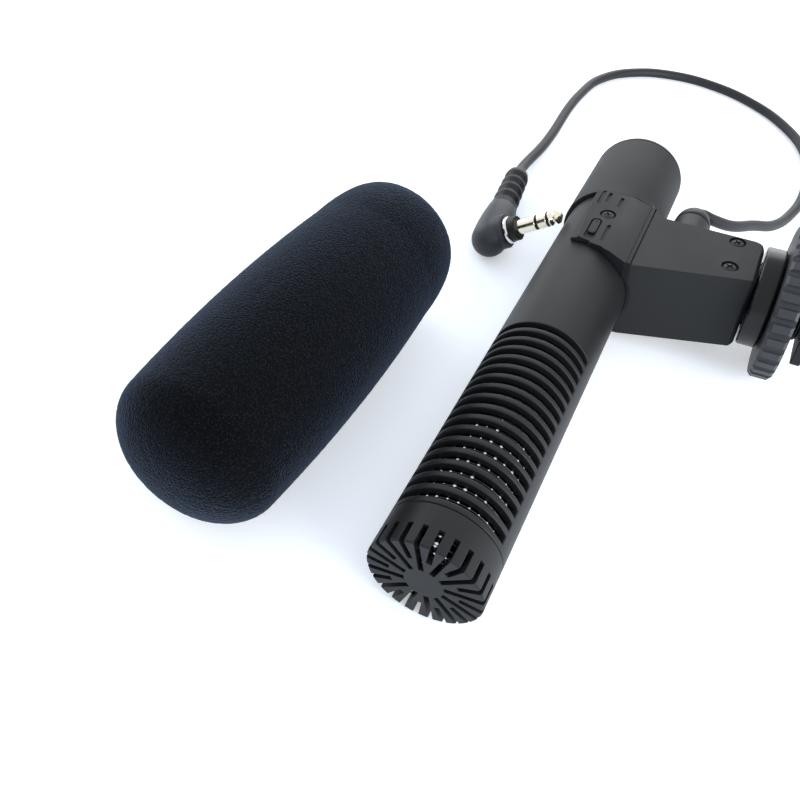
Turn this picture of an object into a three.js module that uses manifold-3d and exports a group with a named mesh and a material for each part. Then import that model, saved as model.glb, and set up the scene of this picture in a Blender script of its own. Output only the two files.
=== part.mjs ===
// On-camera microphone lying on its side, with its foam windscreen taken off beside it.
// Millimetres, +Z up, the barrel's nose towards -Y and the arm towards +X.
import * as THREE from 'three';
import { mergeVertices } from 'three/addons/utils/BufferGeometryUtils.js';
import Module from 'manifold-3d';

const wasm = await Module();
wasm.setup();

// Driving sizes of the barrel
const barrelRadius = 10;
const barrelLength = 133.5;
const wall = 1.4;
const gap = 0.3;
const seam = 0.2;
const cutOverrun = 2;
const barrelSides = 44;
const boreRadius = barrelRadius - wall;

// Nose cap
const capLength = 7.8;
const capFace = 1.4;
const capLap = 2.2;
const capLapWall = 0.55;
const capEdge = 0.3;
const noseSlotCount = 24;
const noseSlotWidth = 0.95;
const noseSlotTip = 3.7;
const longSlotStart = 3.4;
const shortSlotStart = 6.0;
const noseSlotTurn = THREE.MathUtils.degToRad(-22.5);

// Rear cap and the battery in front of it, placed from the rear end
const rearCapLength = 2.6;
const rearCapRound = 2.4;
const rearCapFloor = 1.6;
const rearSpigot = 6;
const batteryRadius = 5.25;
const batteryLength = 44.5;
const batteryClearance = 2;
const batteryNub = { radius: 1.9, length: 0.8 };
const batteryEdge = 0.4;
const capSeat = barrelLength - rearCapLength;
const batteryRear = capSeat - rearSpigot - batteryClearance;
const batteryFront = batteryRear - batteryLength;
const contact = { radius: 4.2, thickness: 0.5 };
const coil = { wire: 0.35, turns: 4, narrow: 2.2, wide: 4.0 };
const cradleInset = 3;
const cradleRise = 1.5;

// Board behind the sound mesh
const boardSetback = 16;
const boardThickness = 1.2;
const boardAt = batteryFront - boardSetback;
const boardHole = { radius: 0.8, up: -6 };
const chip = { width: 4.4, depth: 1.4, height: 4.0, across: -2.4, up: 1.5 };
const capacitor = { radius: 1.9, length: 3.2, across: 3.6, up: 1.0 };

// Row of sound slots over the barrel's crown, as many as fit before the board
const slotPitch = 2.75;
const slotWidth = 1.65;
const firstSlot = 10.0;
const slotHalfSpan = THREE.MathUtils.degToRad(66);
const slotRowMargin = 8;
const slotCount = 1 + Math.floor((boardAt - slotRowMargin - firstSlot) / slotPitch);
const lastSlot = firstSlot + (slotCount - 1) * slotPitch;

// Woven mesh inside cap and slots, and the capsules behind the cap
const meshThickness = 0.4;
const meshLap = 3.5;
const meshRadius = boreRadius - gap;
const meshFront = capFace + gap;
const meshRear = lastSlot + meshLap;
const holderFront = 5.2;
const holderLength = 6.5;
const capsuleRadius = 3.1;
const capsuleLength = 4.6;
const capsuleProud = 0.8;
const capsulePort = { share: 0.35, depth: 0.3 };
const capsuleSpread = 3.7;

// Housing: a shell round the rear of the barrel, a saddle for the switch, and the arm
const housingLength = 52.3;
const shellRadius = 10.9;
const shellBore = barrelRadius + gap / 2;
const shellOpening = 3.2;
const tableClearance = 0.05;
const saddleFront = barrelLength - housingLength;
const saddleSetback = 3.1;
const saddleTop = 11.0;
const saddleFlatFrom = -2.4;
const saddleFall = 4.4;
const saddleRunout = 6;
const plateLength = 22.8;
const plateRight = 8.4;
const plateLeft = -4.2;
const plateLeftTaper = 1.2;
const saddleLeft = plateLeft - seam;
const plateRear = saddleFront + plateLength;
const ridgeWidth = 0.5;
const ridgeGroove = 0.3;
const ridgeDepth = 0.5;
const earSlant = 6.5;
const crescent = { length: 24.6, low: -0.6, bend: 2.6, top: 9.8, width: 1.3, depth: 0.5 };
const crescentShares = { from: 0.3, to: 0.97 };

// Arm
const armRoot = 9.7;
const armRootHeight = 9.2;
const armEnd = 33.6;
const armEndHeight = 8.7;
const armEndBevel = 0.7;
const armNearSetback = 5.8;
const armFarSetback = 20.3;
const armNear = saddleFront + armNearSetback;
const armFar = saddleFront + armFarSetback;
const armCorner = 2.6;
const armNearCorner = 1.0;
const armWall = 1.6;
const armHollowStart = 15;

// Slide switch
const switchAcross = -0.85;
const switchSlotFrom = saddleFront + 3.3;
const switchSlotWidth = 2.3;
const switchSlotLength = 7.8;
const switchTravel = 1.8;
const switchMiddle = switchSlotFrom + switchSlotLength / 2;
const knobWidth = switchSlotWidth - 2 * gap;
const knobLength = switchSlotLength - switchTravel - 2 * gap;
const knobGrip = { pitch: 0.9, width: 0.35, depth: 0.25, count: 5 };
const stemWidth = 1.2;
const stemLength = 1.6;
const switchBodyMargin = 1.2;
const switchBodyHeight = 1.6;
const switchBodyFloor = batteryRadius + gap;

// Marks sunk into the switch plate
const markDepth = 0.35;
const markWidth = 0.6;
const switchLine = { across: 2.05, setback: 3.3, length: 6.4 };
const longMark = { across: -2.6, setback: 17.0, length: 6.4 };
const middleMark = { across: -1.0, setback: 18.4, length: 4.0 };
const rightMark = { across: 1.9, setback: 17.4, length: 4.0 };
const marks = [longMark, middleMark, rightMark];

// Cross-head screws
const screwHeadRadius = 1.45;
const screwHeadHeight = 0.5;
const screwShankRadius = 0.75;
const screwRecessRadius = 1.75;
const screwRecessDepth = 0.6;
const screwLift = 0.1;
const screwCross = 0.45;
const screwShares = { crown: 0.9, cross: 1.15, crossFloor: 0.4 };
const screwSides = 18;
const plateScrewSetback = 13.6;
const plateScrewAt = { across: 0.6, along: saddleFront + plateScrewSetback };
const plateScrewShank = saddleTop - screwRecessDepth - batteryRadius - 2 * gap;
const armScrewInset = 5.7;
const armScrewSpread = 9.4;
const armScrewShank = 5;

// Foot: damper, knurled wheel, clamp washer, stud and shoe plate along the arm's axis
const footAlong = saddleFront + 13.5;
const footBlockLength = 13;
const studBuried = 8;
const damperStart = armEnd + gap;
const damperLength = 4.2;
const damperRadius = 10.6;
const damperEdge = 0.6;
const wheelStart = damperStart + damperLength + gap;
const wheelThickness = 4.5;
const wheelEnd = wheelStart + wheelThickness;
const wheelRadius = 16.5;
const wheelRibs = 32;
const wheelRibDepth = 0.8;
const wheelEdge = 0.6;
const wheelSides = 64;
const washerRadius = 10.5;
const washerThickness = 1.2;
const studRadius = 7.0;
const studCore = 4.0;
const studThread = 0.45;
const studPitch = 1.0;
const studFlat = 6.1;
const footGap = 2.6;
const footSize = 17.6;
const footThickness = 2.0;
const footCorner = 1.2;

// The microphone rests on its barrel and the wheel's near rim, which tilts the arm up
const rimReach = Math.hypot(wheelStart + wheelEdge, wheelRadius);
const armTilt = Math.atan2(wheelRadius, wheelStart + wheelEdge) - Math.asin(barrelRadius / rimReach);

// Cord and its gland
const cordRadius = 1.35;
const cordSides = 8;
const cordSteps = 78;
const cordClearance = 0.2;
const cordAcross = 26.4;
const cordRun = 54.8;
const cordStraight = 14;
const cordRise = 6;
const glandAcross = 17.4;
const glandUp = 4.3;
const glandRadius = 4.1;
const glandLength = 10.9;
const glandGroove = { depth: 0.5, width: 0.6, slope: 0.1, fromEnd: 3.9 };
const glandRim = 0.4;
const glandHoleShare = 0.6;

// Right-angle plug
const plugStandoff = 14.8;
const plugElbow = new THREE.Vector3(-barrelRadius - plugStandoff, armNear + 7, 4.45);
const plugHeading = THREE.MathUtils.degToRad(7);
const plugLean = THREE.MathUtils.degToRad(38.5);
const plugRadius = 4.3;
const plugBarrel = 11;
const plugTail = 1.4;
const plugNeck = 0.5;
const plugBossShare = 0.93;
const plugWaistShares = { radius: 0.94, along: 0.6 };
const reliefLength = 17;
const reliefRadius = 3.0;
const reliefFlare = 0.3;
const reliefWaist = 0.7;
const reliefTaper = 0.25;
const reliefEnd = 1.2;
const reliefRibs = 4;
const collarRadius = 3.2;
const collarThickness = 0.8;
const jackBoss = { radius: 2.9, length: 1.6 };
const jackRadius = 1.75;
const jackLength = 13.6;
const jackCoreRadius = 0.9;
const jackSleeveReach = 7.2;
const jackRingLength = 2.2;
const jackInsulator = 0.6;
const jackFit = 0.1;
const jackTipNeck = { setback: 1.1, step: 0.8, share: 0.72, edge: 0.3, endShare: 0.45 };

// Windscreen, lying beside the barrel
const foamRadius = 15.8;
const foamSpacing = 29.25;
const foamAlong = 36.4;
const foam = {
  radius: foamRadius,
  middle: new THREE.Vector3(-barrelRadius - foamSpacing, foamAlong, foamRadius),
  heading: THREE.MathUtils.degToRad(-2.28),
  front: -8.6,
  rear: 66.7,
  noseLength: 9.4,
  noseRoundness: 0.9,
  rearLength: 13.7,
  rimRadius: 11.6,
  bulge: 1.05,
  boreRadius: barrelRadius - 0.8,
  boreEnd: 5.0,
  steps: 7,
  sides: 32,
};

const materials = {
  shell: { color: 0x1c1f22, roughness: 0.5, metalness: 0 },
  arm: { color: 0x1a1c1f, roughness: 0.55, metalness: 0 },
  mesh: { color: 0x17181a, roughness: 0.35, metalness: 0.8 },
  rubber: { color: 0x202327, roughness: 0.6, metalness: 0 },
  foam: { color: 0x12151c, roughness: 0.95, metalness: 0 },
  screw: { color: 0x24262a, roughness: 0.35, metalness: 0.7 },
  gold: { color: 0xe6dcb8, roughness: 0.2, metalness: 1 },
  silver: { color: 0xc4c6c8, roughness: 0.25, metalness: 1 },
  black: { color: 0x0c0c0d, roughness: 0.4, metalness: 0 },
  board: { color: 0x1d4a2c, roughness: 0.6, metalness: 0 },
  cord: { color: 0x2c3238, roughness: 0.55, metalness: 0 },
  battery: { color: 0x5c6064, roughness: 0.35, metalness: 0.4 },
};

function meshOf(name, geometry, material) {
  const piece = new THREE.Mesh(geometry, new THREE.MeshStandardMaterial(materials[material]));
  piece.name = name;
  return piece;
}

// Solids for joining and cutting
function solidOf(geometry) {
  const bare = new THREE.BufferGeometry();
  bare.setAttribute('position', geometry.getAttribute('position').clone());
  if (geometry.index) {
    bare.setIndex(geometry.index.clone());
  }
  const merged = mergeVertices(bare, 1e-4);
  const triVerts = Uint32Array.from(merged.index.array);
  const vertProperties = Float32Array.from(merged.getAttribute('position').array);
  return new wasm.Manifold(new wasm.Mesh({ numProp: 3, vertProperties, triVerts }));
}

function geometryOf(solid) {
  const mesh = solid.getMesh();
  const geometry = new THREE.BufferGeometry();
  geometry.setAttribute('position', new THREE.BufferAttribute(mesh.vertProperties, 3));
  geometry.setIndex(new THREE.BufferAttribute(mesh.triVerts, 1));
  return geometry;
}

function subtractAll(base, cutters) {
  return cutters.reduce((rest, cutter) => rest.subtract(cutter), base);
}

// Turned about the barrel's axis from [radius, place] pairs
function turned(profile, sides = barrelSides) {
  const points = profile.map(([radius, along]) => new THREE.Vector2(radius, along));
  return new THREE.LatheGeometry(points, sides);
}

function rod(radius, from, to, sides = barrelSides) {
  return turned([[0, from], [radius, from], [radius, to], [0, to]], sides);
}

// A closed ring returns to its first corner
function ring(inner, outer, from, to, sides = barrelSides) {
  return turned([[inner, from], [outer, from], [outer, to], [inner, to], [inner, from]], sides);
}

// The same, turned about the arm's axis and centred on the foot
function onArm(geometry) {
  return geometry.rotateZ(-Math.PI / 2).translate(0, footAlong, 0);
}

// Outline in the section across the barrel, drawn out along it
function acrossPrism(shape, from, to) {
  const geometry = new THREE.ExtrudeGeometry(shape, { depth: to - from, bevelEnabled: false });
  return geometry.rotateX(Math.PI / 2).translate(0, to, 0);
}

// Outline seen from above, drawn up
function upPrism(shape, from, to) {
  const options = { depth: to - from, bevelEnabled: false, curveSegments: 6 };
  const geometry = new THREE.ExtrudeGeometry(shape, options);
  return geometry.translate(0, 0, from);
}

function box(width, length, height, x, y, z) {
  return new THREE.BoxGeometry(width, length, height).translate(x, y, z);
}

// Round-ended outline, long way along the barrel
function pill(width, length, x, y) {
  const radius = width / 2;
  const reach = length / 2 - radius;
  const shape = new THREE.Shape();
  shape.absarc(x, y + reach, radius, 0, Math.PI, false);
  shape.absarc(x, y - reach, radius, Math.PI, 2 * Math.PI, false);
  return shape;
}

function roundedRectangle(width, height, radius) {
  const x = width / 2 - radius;
  const y = height / 2 - radius;
  const shape = new THREE.Shape();
  shape.absarc(x, y, radius, 0, Math.PI / 2, false);
  shape.absarc(-x, y, radius, Math.PI / 2, Math.PI, false);
  shape.absarc(-x, -y, radius, Math.PI, 1.5 * Math.PI, false);
  shape.absarc(x, -y, radius, 1.5 * Math.PI, 2 * Math.PI, false);
  return shape;
}

// Nose cap: a cup whose face and side are cut by long and short slots in turn
function noseCap() {
  const lapFrom = capLength - capLap - gap;
  const lapRadius = boreRadius + capLapWall + gap;
  const profile = [
    [0, 0],
    [barrelRadius - capEdge, 0],
    [barrelRadius, capEdge],
    [barrelRadius, capLength],
    [lapRadius, capLength],
    [lapRadius, lapFrom],
    [boreRadius, lapFrom],
    [boreRadius, capFace],
    [0, capFace],
  ];
  const cutters = [];
  for (let index = 0; index < noseSlotCount; index += 1) {
    const start = index % 2 === 0 ? longSlotStart : shortSlotStart;
    const angle = noseSlotTurn + (2 * Math.PI * index) / noseSlotCount;
    cutters.push(noseSlot(start).rotateY(-angle));
  }
  return geometryOf(subtractAll(solidOf(turned(profile)), cutters.map(solidOf)));
}

// Slot bent over the rim: through the face, then down the side
function noseSlot(start) {
  const outside = barrelRadius + cutOverrun;
  const inside = boreRadius - gap;
  const shape = new THREE.Shape();
  shape.moveTo(start, -cutOverrun);
  shape.lineTo(outside, -cutOverrun);
  shape.lineTo(outside, noseSlotTip);
  shape.lineTo(inside, noseSlotTip);
  shape.lineTo(inside, capFace + gap);
  shape.lineTo(start, capFace + gap);
  const depth = noseSlotWidth;
  return new THREE.ExtrudeGeometry(shape, { depth, bevelEnabled: false }).translate(0, 0, -depth / 2);
}

// Barrel tube with a lap for the cap, the row of slots and the switch's opening
function barrelTube() {
  const front = capLength + seam;
  const rear = capSeat - seam;
  const lapRadius = boreRadius + capLapWall;
  const profile = [
    [boreRadius, capLength - capLap],
    [lapRadius, capLength - capLap],
    [lapRadius, front],
    [barrelRadius, front],
    [barrelRadius, rear],
    [boreRadius, rear],
    [boreRadius, capLength - capLap],
  ];
  const cutters = [];
  for (let index = 0; index < slotCount; index += 1) {
    cutters.push(soundSlot(firstSlot + index * slotPitch));
  }
  const opening = pill(stemWidth + 2 * gap, stemLength + switchTravel + 2 * gap, switchAcross, switchMiddle);
  cutters.push(upPrism(opening, 0, saddleTop));
  const screwHole = rod(screwShankRadius + gap, 0, saddleTop, screwSides).rotateX(Math.PI / 2);
  cutters.push(screwHole.translate(plateScrewAt.across, plateScrewAt.along, 0));
  return geometryOf(subtractAll(solidOf(turned(profile)), cutters.map(solidOf)));
}

// One slot: a fan over the crown, its sides running to the barrel's axis
function soundSlot(middle) {
  const inner = boreRadius - cutOverrun;
  const outer = barrelRadius + cutOverrun;
  const side = Math.sin(slotHalfSpan);
  const height = Math.cos(slotHalfSpan);
  const shape = new THREE.Shape();
  shape.moveTo(inner * side, inner * height);
  shape.lineTo(outer * side, outer * height);
  shape.lineTo(outer * side, outer);
  shape.lineTo(-outer * side, outer);
  shape.lineTo(-outer * side, outer * height);
  shape.lineTo(-inner * side, inner * height);
  return acrossPrism(shape, middle - slotWidth / 2, middle + slotWidth / 2);
}

// Rounded end cap that plugs the battery's end of the barrel
function rearCap() {
  const spigotFront = capSeat - rearSpigot;
  const spigotRadius = boreRadius - gap;
  const profile = [
    [0, spigotFront],
    [spigotRadius, spigotFront],
    [spigotRadius, capSeat],
    [shellRadius, capSeat],
  ];
  const steps = 5;
  for (let step = 0; step <= steps; step += 1) {
    const angle = (step / steps) * (Math.PI / 2);
    const radius = shellRadius - rearCapRound + rearCapRound * Math.cos(angle);
    profile.push([radius, barrelLength - rearCapRound + rearCapRound * Math.sin(angle)]);
  }
  profile.push([0, barrelLength]);
  const hollow = rod(batteryRadius, spigotFront - cutOverrun, barrelLength - rearCapFloor);
  const flat = underside(capSeat - cutOverrun, barrelLength + cutOverrun)[0];
  return geometryOf(subtractAll(solidOf(turned(profile)), [solidOf(hollow), flat]));
}

// Outline in the plane seen from the far flank, drawn out across the barrel there
function flankPrism(shape, right) {
  const reach = shellRadius + cutOverrun;
  const geometry = new THREE.ExtrudeGeometry(shape, { depth: reach + right, bevelEnabled: false });
  return geometry.applyMatrix4(new THREE.Matrix4().makeBasis(
    new THREE.Vector3(0, 1, 0),
    new THREE.Vector3(0, 0, 1),
    new THREE.Vector3(1, 0, 0),
  )).translate(-reach, 0, 0);
}

// Crescent hollow on the far flank, rising in a curve towards the rear
function crescentHollow() {
  const { length, low, bend, top, width, depth } = crescent;
  const { from, to } = crescentShares;
  const rear = saddleFront + length;
  const curve = new THREE.QuadraticBezierCurve(
    new THREE.Vector2(saddleFront, low),
    new THREE.Vector2(rear, bend),
    new THREE.Vector2(rear, top),
  );
  const steps = 12;
  const shape = new THREE.Shape();
  for (let step = 0; step <= steps; step += 1) {
    const point = curve.getPoint(from + ((to - from) * step) / steps);
    shape[step === 0 ? 'moveTo' : 'lineTo'](point.x, point.y);
  }
  for (let step = steps - 1; step > 0; step -= 1) {
    const share = step / steps;
    const point = curve.getPoint(from + (to - from) * share);
    const swell = width * Math.sin(Math.PI * share);
    shape.lineTo(point.x + swell / 2, point.y - swell);
  }
  const core = solidOf(rod(shellRadius - depth, 0, barrelLength));
  return solidOf(flankPrism(shape, 0)).subtract(core);
}

// What the shell's slanted front edge leaves open on the far flank and underneath
function flankOpening() {
  const reach = shellRadius + cutOverrun;
  const before = saddleFront - cutOverrun;
  const corner = saddleFront + saddleSetback;
  const cornerHeight = Math.sqrt(shellRadius ** 2 - saddleLeft ** 2);
  const shape = new THREE.Shape();
  shape.moveTo(before, reach);
  shape.lineTo(corner, reach);
  shape.lineTo(corner, cornerHeight);
  shape.lineTo(corner + earSlant, 0);
  shape.lineTo(corner + earSlant, -reach);
  shape.lineTo(before, -reach);
  const side = solidOf(flankPrism(shape, saddleLeft));
  const length = corner + earSlant - before;
  const belowUp = -reach / 2 - shellRadius / 2;
  const below = box(2 * reach, length, reach, -reach + saddleFall, before + length / 2, belowUp);
  return side.add(solidOf(below));
}

// The shell stays off the table: a flat and a gap along its underside
function underside(from, to) {
  const length = to - from;
  const middle = (from + to) / 2;
  const low = -barrelRadius + tableClearance;
  const flat = box(4 * shellRadius, length, shellRadius, 0, middle, low - shellRadius / 2);
  const split = box(2 * shellOpening, length, shellRadius, 0, middle, -shellRadius);
  return [flat.rotateY(armTilt), split.rotateY(armTilt)].map(solidOf);
}

// Outline seen from above of everything behind the housing's slanted front edge
function behindFront() {
  const reach = shellRadius + cutOverrun;
  const corner = saddleFront + saddleSetback;
  const rear = barrelLength + cutOverrun;
  const shape = new THREE.Shape();
  shape.moveTo(-reach, corner);
  shape.lineTo(saddleLeft, corner);
  shape.lineTo(plateRight, saddleFront);
  shape.lineTo(armEnd + reach, saddleFront);
  shape.lineTo(armEnd + reach, rear);
  shape.lineTo(-reach, rear);
  return solidOf(upPrism(shape, -reach, reach));
}

function rearShell() {
  const from = saddleFront;
  const to = capSeat - seam;
  const tube = solidOf(ring(shellBore, shellRadius, from, to)).intersect(behindFront());
  const cuts = [flankOpening(), crescentHollow(), ...underside(from - cutOverrun, to + cutOverrun)];
  return subtractAll(tube, cuts);
}

// Section through saddle and arm, across the barrel
function saddleSection() {
  const shape = new THREE.Shape();
  shape.moveTo(armEnd, -armEndHeight + armEndBevel);
  shape.lineTo(armEnd, armEndHeight - armEndBevel);
  shape.lineTo(armEnd - armEndBevel, armTopAt(armEnd - armEndBevel));
  shape.lineTo(armRoot, armRootHeight);
  shape.lineTo(saddleFall, saddleTop);
  shape.lineTo(saddleFlatFrom, saddleTop);
  shape.lineTo(saddleLeft, Math.sqrt(shellRadius ** 2 - saddleLeft ** 2));
  shape.lineTo(0, -barrelRadius / 2);
  shape.lineTo(saddleFall, -armRootHeight);
  shape.lineTo(armEnd - armEndBevel, -armTopAt(armEnd - armEndBevel));
  return shape;
}

// Plan of saddle and arm, seen from the crown
function saddlePlan() {
  const slope = (armNear - saddleFront) / (armEnd - armRoot);
  const rear = plateRear + saddleRunout;
  const shape = new THREE.Shape();
  shape.moveTo(saddleLeft - seam, saddleFront);
  shape.lineTo(armRoot, saddleFront);
  shape.lineTo(armEnd - armNearCorner, armNear - slope * armNearCorner);
  shape.quadraticCurveTo(armEnd, armNear, armEnd, armNear + armNearCorner);
  shape.lineTo(armEnd, armFar - armCorner);
  shape.absarc(armEnd - armCorner, armFar - armCorner, armCorner, 0, Math.PI / 2, false);
  shape.lineTo(armRoot + armCorner, armFar);
  shape.quadraticCurveTo(armRoot, armFar, armRoot, armFar + armCorner);
  shape.lineTo(plateRight, plateRear);
  shape.lineTo(plateRight, rear);
  shape.lineTo(saddleLeft - seam, rear);
  return shape;
}

// Slope that runs the saddle down into the shell behind the switch plate
function runout() {
  const reach = plateRear + saddleRunout + cutOverrun;
  const drop = saddleTop - shellRadius / 2;
  const shape = new THREE.Shape();
  shape.moveTo(plateRear, saddleTop);
  shape.lineTo(plateRear + saddleRunout, saddleTop - drop);
  shape.lineTo(reach, saddleTop - drop);
  shape.lineTo(reach, saddleTop + cutOverrun);
  shape.lineTo(plateRear, saddleTop + cutOverrun);
  return solidOf(flankPrism(shape, armRoot + cutOverrun));
}

function saddleBlank() {
  const rear = plateRear + saddleRunout;
  const section = solidOf(acrossPrism(saddleSection(), saddleFront - cutOverrun, rear + cutOverrun));
  const plan = solidOf(upPrism(saddlePlan(), -saddleTop - cutOverrun, saddleTop + cutOverrun));
  const bore = solidOf(rod(shellBore, saddleFront - cutOverrun, rear + cutOverrun));
  return subtractAll(section.intersect(plan).intersect(behindFront()), [bore, runout()]);
}

// Outline of the switch plate from above, grown by a clearance where it meets the housing
function plateRoom(clearance) {
  const front = saddleFront - cutOverrun;
  const shape = new THREE.Shape();
  shape.moveTo(plateLeft + plateLeftTaper - clearance, front);
  shape.lineTo(plateRight + clearance, front);
  shape.lineTo(plateRight + clearance, plateRear + clearance);
  shape.lineTo(plateLeft - clearance, plateRear + clearance);
  return solidOf(upPrism(shape, saddleTop / 2, saddleTop + cutOverrun));
}

// Second groove beside the plate's edge, which leaves a narrow ridge at the arm's root
function ridgeCut() {
  const length = plateRear - saddleFront + cutOverrun;
  const across = plateRight + gap + ridgeWidth + ridgeGroove / 2;
  const top = armTopAt(across) + ridgeDepth;
  return box(ridgeGroove, length, 2 * ridgeDepth, across, plateRear - length / 2, top - ridgeDepth);
}

function housing() {
  const hollowNear = armNear + armWall;
  const hollowFar = armFar - armWall;
  const hollowHeight = 2 * (armEndHeight - armWall);
  const hollowLength = armEnd + cutOverrun - armHollowStart;
  const hollow = box(
    hollowLength,
    hollowFar - hollowNear,
    hollowHeight,
    armHollowStart + hollowLength / 2,
    (hollowNear + hollowFar) / 2,
    0,
  );
  const holeRadius = glandRadius * glandHoleShare;
  const glandHole = rod(holeRadius, hollowFar - cutOverrun, armFar + cutOverrun, screwSides);
  glandHole.translate(glandAcross, 0, glandUp);
  const wireHole = rod(cordRadius, 0, armHollowStart + cutOverrun, screwSides).rotateZ(-Math.PI / 2);
  wireHole.translate(0, footAlong, 0);
  const cutters = [hollow, glandHole, wireHole, ridgeCut()];
  armScrewPlaces().forEach(([across, along]) => {
    cutters.push(screwRecess(across, along, armTopAt(across)));
  });
  const body = saddleBlank().subtract(plateRoom(gap)).add(rearShell().subtract(plateRoom(gap)));
  return geometryOf(subtractAll(body, cutters.map(solidOf)));
}

function armTopAt(across) {
  const share = (across - armRoot) / (armEnd - armRoot);
  return armRootHeight + (armEndHeight - armRootHeight) * share;
}

function armScrewPlaces() {
  const across = armEnd - armScrewInset;
  return [-1, 1].map((side) => [across, footAlong + (side * armScrewSpread) / 2]);
}

function screwRecess(across, along, top) {
  const recess = [
    [0, -top],
    [screwShankRadius + gap, -top],
    [screwShankRadius + gap, -screwRecessDepth],
    [screwRecessRadius, -screwRecessDepth],
    [screwRecessRadius, cutOverrun],
    [0, cutOverrun],
  ];
  const shape = turned(recess, screwSides).rotateX(Math.PI / 2);
  return shape.translate(across, along, top);
}

// Plate that carries the switch: flat over the crown, falling towards the arm
function switchPlate() {
  const opening = pill(switchSlotWidth, switchSlotLength, switchAcross, switchMiddle);
  const cutters = [
    upPrism(opening, saddleTop / 2, saddleTop + cutOverrun),
    screwRecess(plateScrewAt.across, plateScrewAt.along, saddleTop),
  ];
  [switchLine, ...marks].forEach(({ across, setback, length }) => {
    const outline = pill(markWidth, length, across, saddleFront + setback + length / 2);
    cutters.push(upPrism(outline, saddleTop - markDepth, saddleTop + cutOverrun));
  });
  const blank = saddleBlank().intersect(plateRoom(0));
  return geometryOf(subtractAll(blank, cutters.map(solidOf)));
}

// Bar knob at the rear end of its slot, with cross grooves, on a stem into the switch
function switchKnob() {
  const seat = barrelRadius + gap;
  const along = switchMiddle + switchTravel / 2;
  const head = solidOf(upPrism(pill(knobWidth, knobLength, switchAcross, along), seat, saddleTop));
  const stemFoot = switchBodyFloor + switchBodyHeight + gap;
  const stemHeight = seat + gap - stemFoot;
  const stem = box(stemWidth, stemLength, stemHeight, switchAcross, along, stemFoot + stemHeight / 2);
  const { pitch, width, depth, count } = knobGrip;
  const grip = [];
  for (let index = 0; index < count; index += 1) {
    const place = along + (index - (count - 1) / 2) * pitch;
    grip.push(solidOf(box(knobWidth + cutOverrun, width, 2 * depth, switchAcross, place, saddleTop)));
  }
  return geometryOf(subtractAll(head.add(solidOf(stem)), grip));
}

function switchBody() {
  const length = stemLength + switchTravel + 2 * switchBodyMargin;
  const width = stemWidth + 2 * switchBodyMargin;
  const up = switchBodyFloor + switchBodyHeight / 2;
  return box(width, length, switchBodyHeight, switchAcross, switchMiddle, up);
}

// Screw with a cross cut into its head, standing on its shank
function screw(shankLength) {
  const profile = [
    [0, -shankLength],
    [screwShankRadius, -shankLength],
    [screwShankRadius, 0],
    [screwHeadRadius, 0],
    [screwHeadRadius * screwShares.crown, screwHeadHeight],
    [0, screwHeadHeight],
  ];
  const arm = screwHeadRadius * screwShares.cross;
  const middle = screwHeadHeight * screwShares.crossFloor + screwHeadHeight / 2;
  const cross = solidOf(box(arm, screwCross, screwHeadHeight, 0, 0, middle))
    .add(solidOf(box(screwCross, arm, screwHeadHeight, 0, 0, middle)));
  return geometryOf(solidOf(turned(profile, screwSides).rotateX(Math.PI / 2)).subtract(cross));
}

function screwMesh(name, across, along, top, shankLength) {
  const seat = top - screwRecessDepth + screwLift;
  return meshOf(name, screw(shankLength).translate(across, along, seat), 'screw');
}

// Parts inside the barrel
function soundMesh() {
  const inner = meshRadius - meshThickness;
  const profile = [
    [0, meshFront],
    [meshRadius, meshFront],
    [meshRadius, meshRear],
    [inner, meshRear],
    [inner, meshFront + meshThickness],
    [0, meshFront + meshThickness],
  ];
  return turned(profile);
}

function capsuleHolder() {
  const radius = meshRadius - meshThickness - gap;
  const holder = solidOf(rod(radius, holderFront, holderFront + holderLength));
  const pockets = [-1, 1].map((side) => {
    const pocketEnd = holderFront + capsuleLength;
    const pocket = rod(capsuleRadius + gap, holderFront - cutOverrun, pocketEnd, screwSides);
    return solidOf(pocket.translate(side * capsuleSpread, 0, 0));
  });
  return geometryOf(subtractAll(holder, pockets));
}

function capsule(side) {
  const front = holderFront - capsuleProud;
  const rear = holderFront + capsuleLength - gap;
  const port = capsuleRadius * capsulePort.share;
  const profile = [
    [0, front + capsulePort.depth],
    [port, front + capsulePort.depth],
    [port, front],
    [capsuleRadius, front],
    [capsuleRadius, rear],
    [0, rear],
  ];
  return turned(profile, screwSides).translate(side * capsuleSpread, 0, 0);
}

function board() {
  const disc = solidOf(rod(boreRadius - gap, boardAt, boardAt + boardThickness));
  const hole = rod(boardHole.radius, boardAt - cutOverrun, boardAt + cutOverrun + boardThickness, screwSides);
  return geometryOf(disc.subtract(solidOf(hole.translate(0, 0, boardHole.up))));
}

function boardChip() {
  const along = boardAt - gap / 2 - chip.depth / 2;
  return box(chip.width, chip.depth, chip.height, chip.across, along, chip.up);
}

function boardCapacitor() {
  const rear = boardAt - gap / 2;
  const can = rod(capacitor.radius, rear - capacitor.length, rear, screwSides);
  return can.translate(capacitor.across, 0, capacitor.up);
}

function battery() {
  const shoulder = batteryFront + batteryNub.length;
  const profile = [
    [0, batteryFront],
    [batteryNub.radius, batteryFront],
    [batteryNub.radius, shoulder],
    [batteryRadius - batteryEdge, shoulder],
    [batteryRadius, shoulder + batteryEdge],
    [batteryRadius, batteryRear],
    [0, batteryRear],
  ];
  return turned(profile, 28);
}

// Trough that holds the battery in the middle of the bore
function batteryCradle() {
  const inner = batteryRadius + gap;
  const outer = boreRadius - gap;
  const from = batteryFront + cradleInset;
  const to = batteryRear - cradleInset - rearSpigot / 2;
  const trough = solidOf(ring(inner, outer, from, to));
  const middle = (from + to) / 2;
  const aboveUp = barrelRadius / 2 + cradleRise;
  const above = box(2 * barrelRadius, to - from + cutOverrun, barrelRadius, 0, middle, aboveUp);
  return geometryOf(trough.subtract(solidOf(above)));
}

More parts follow.
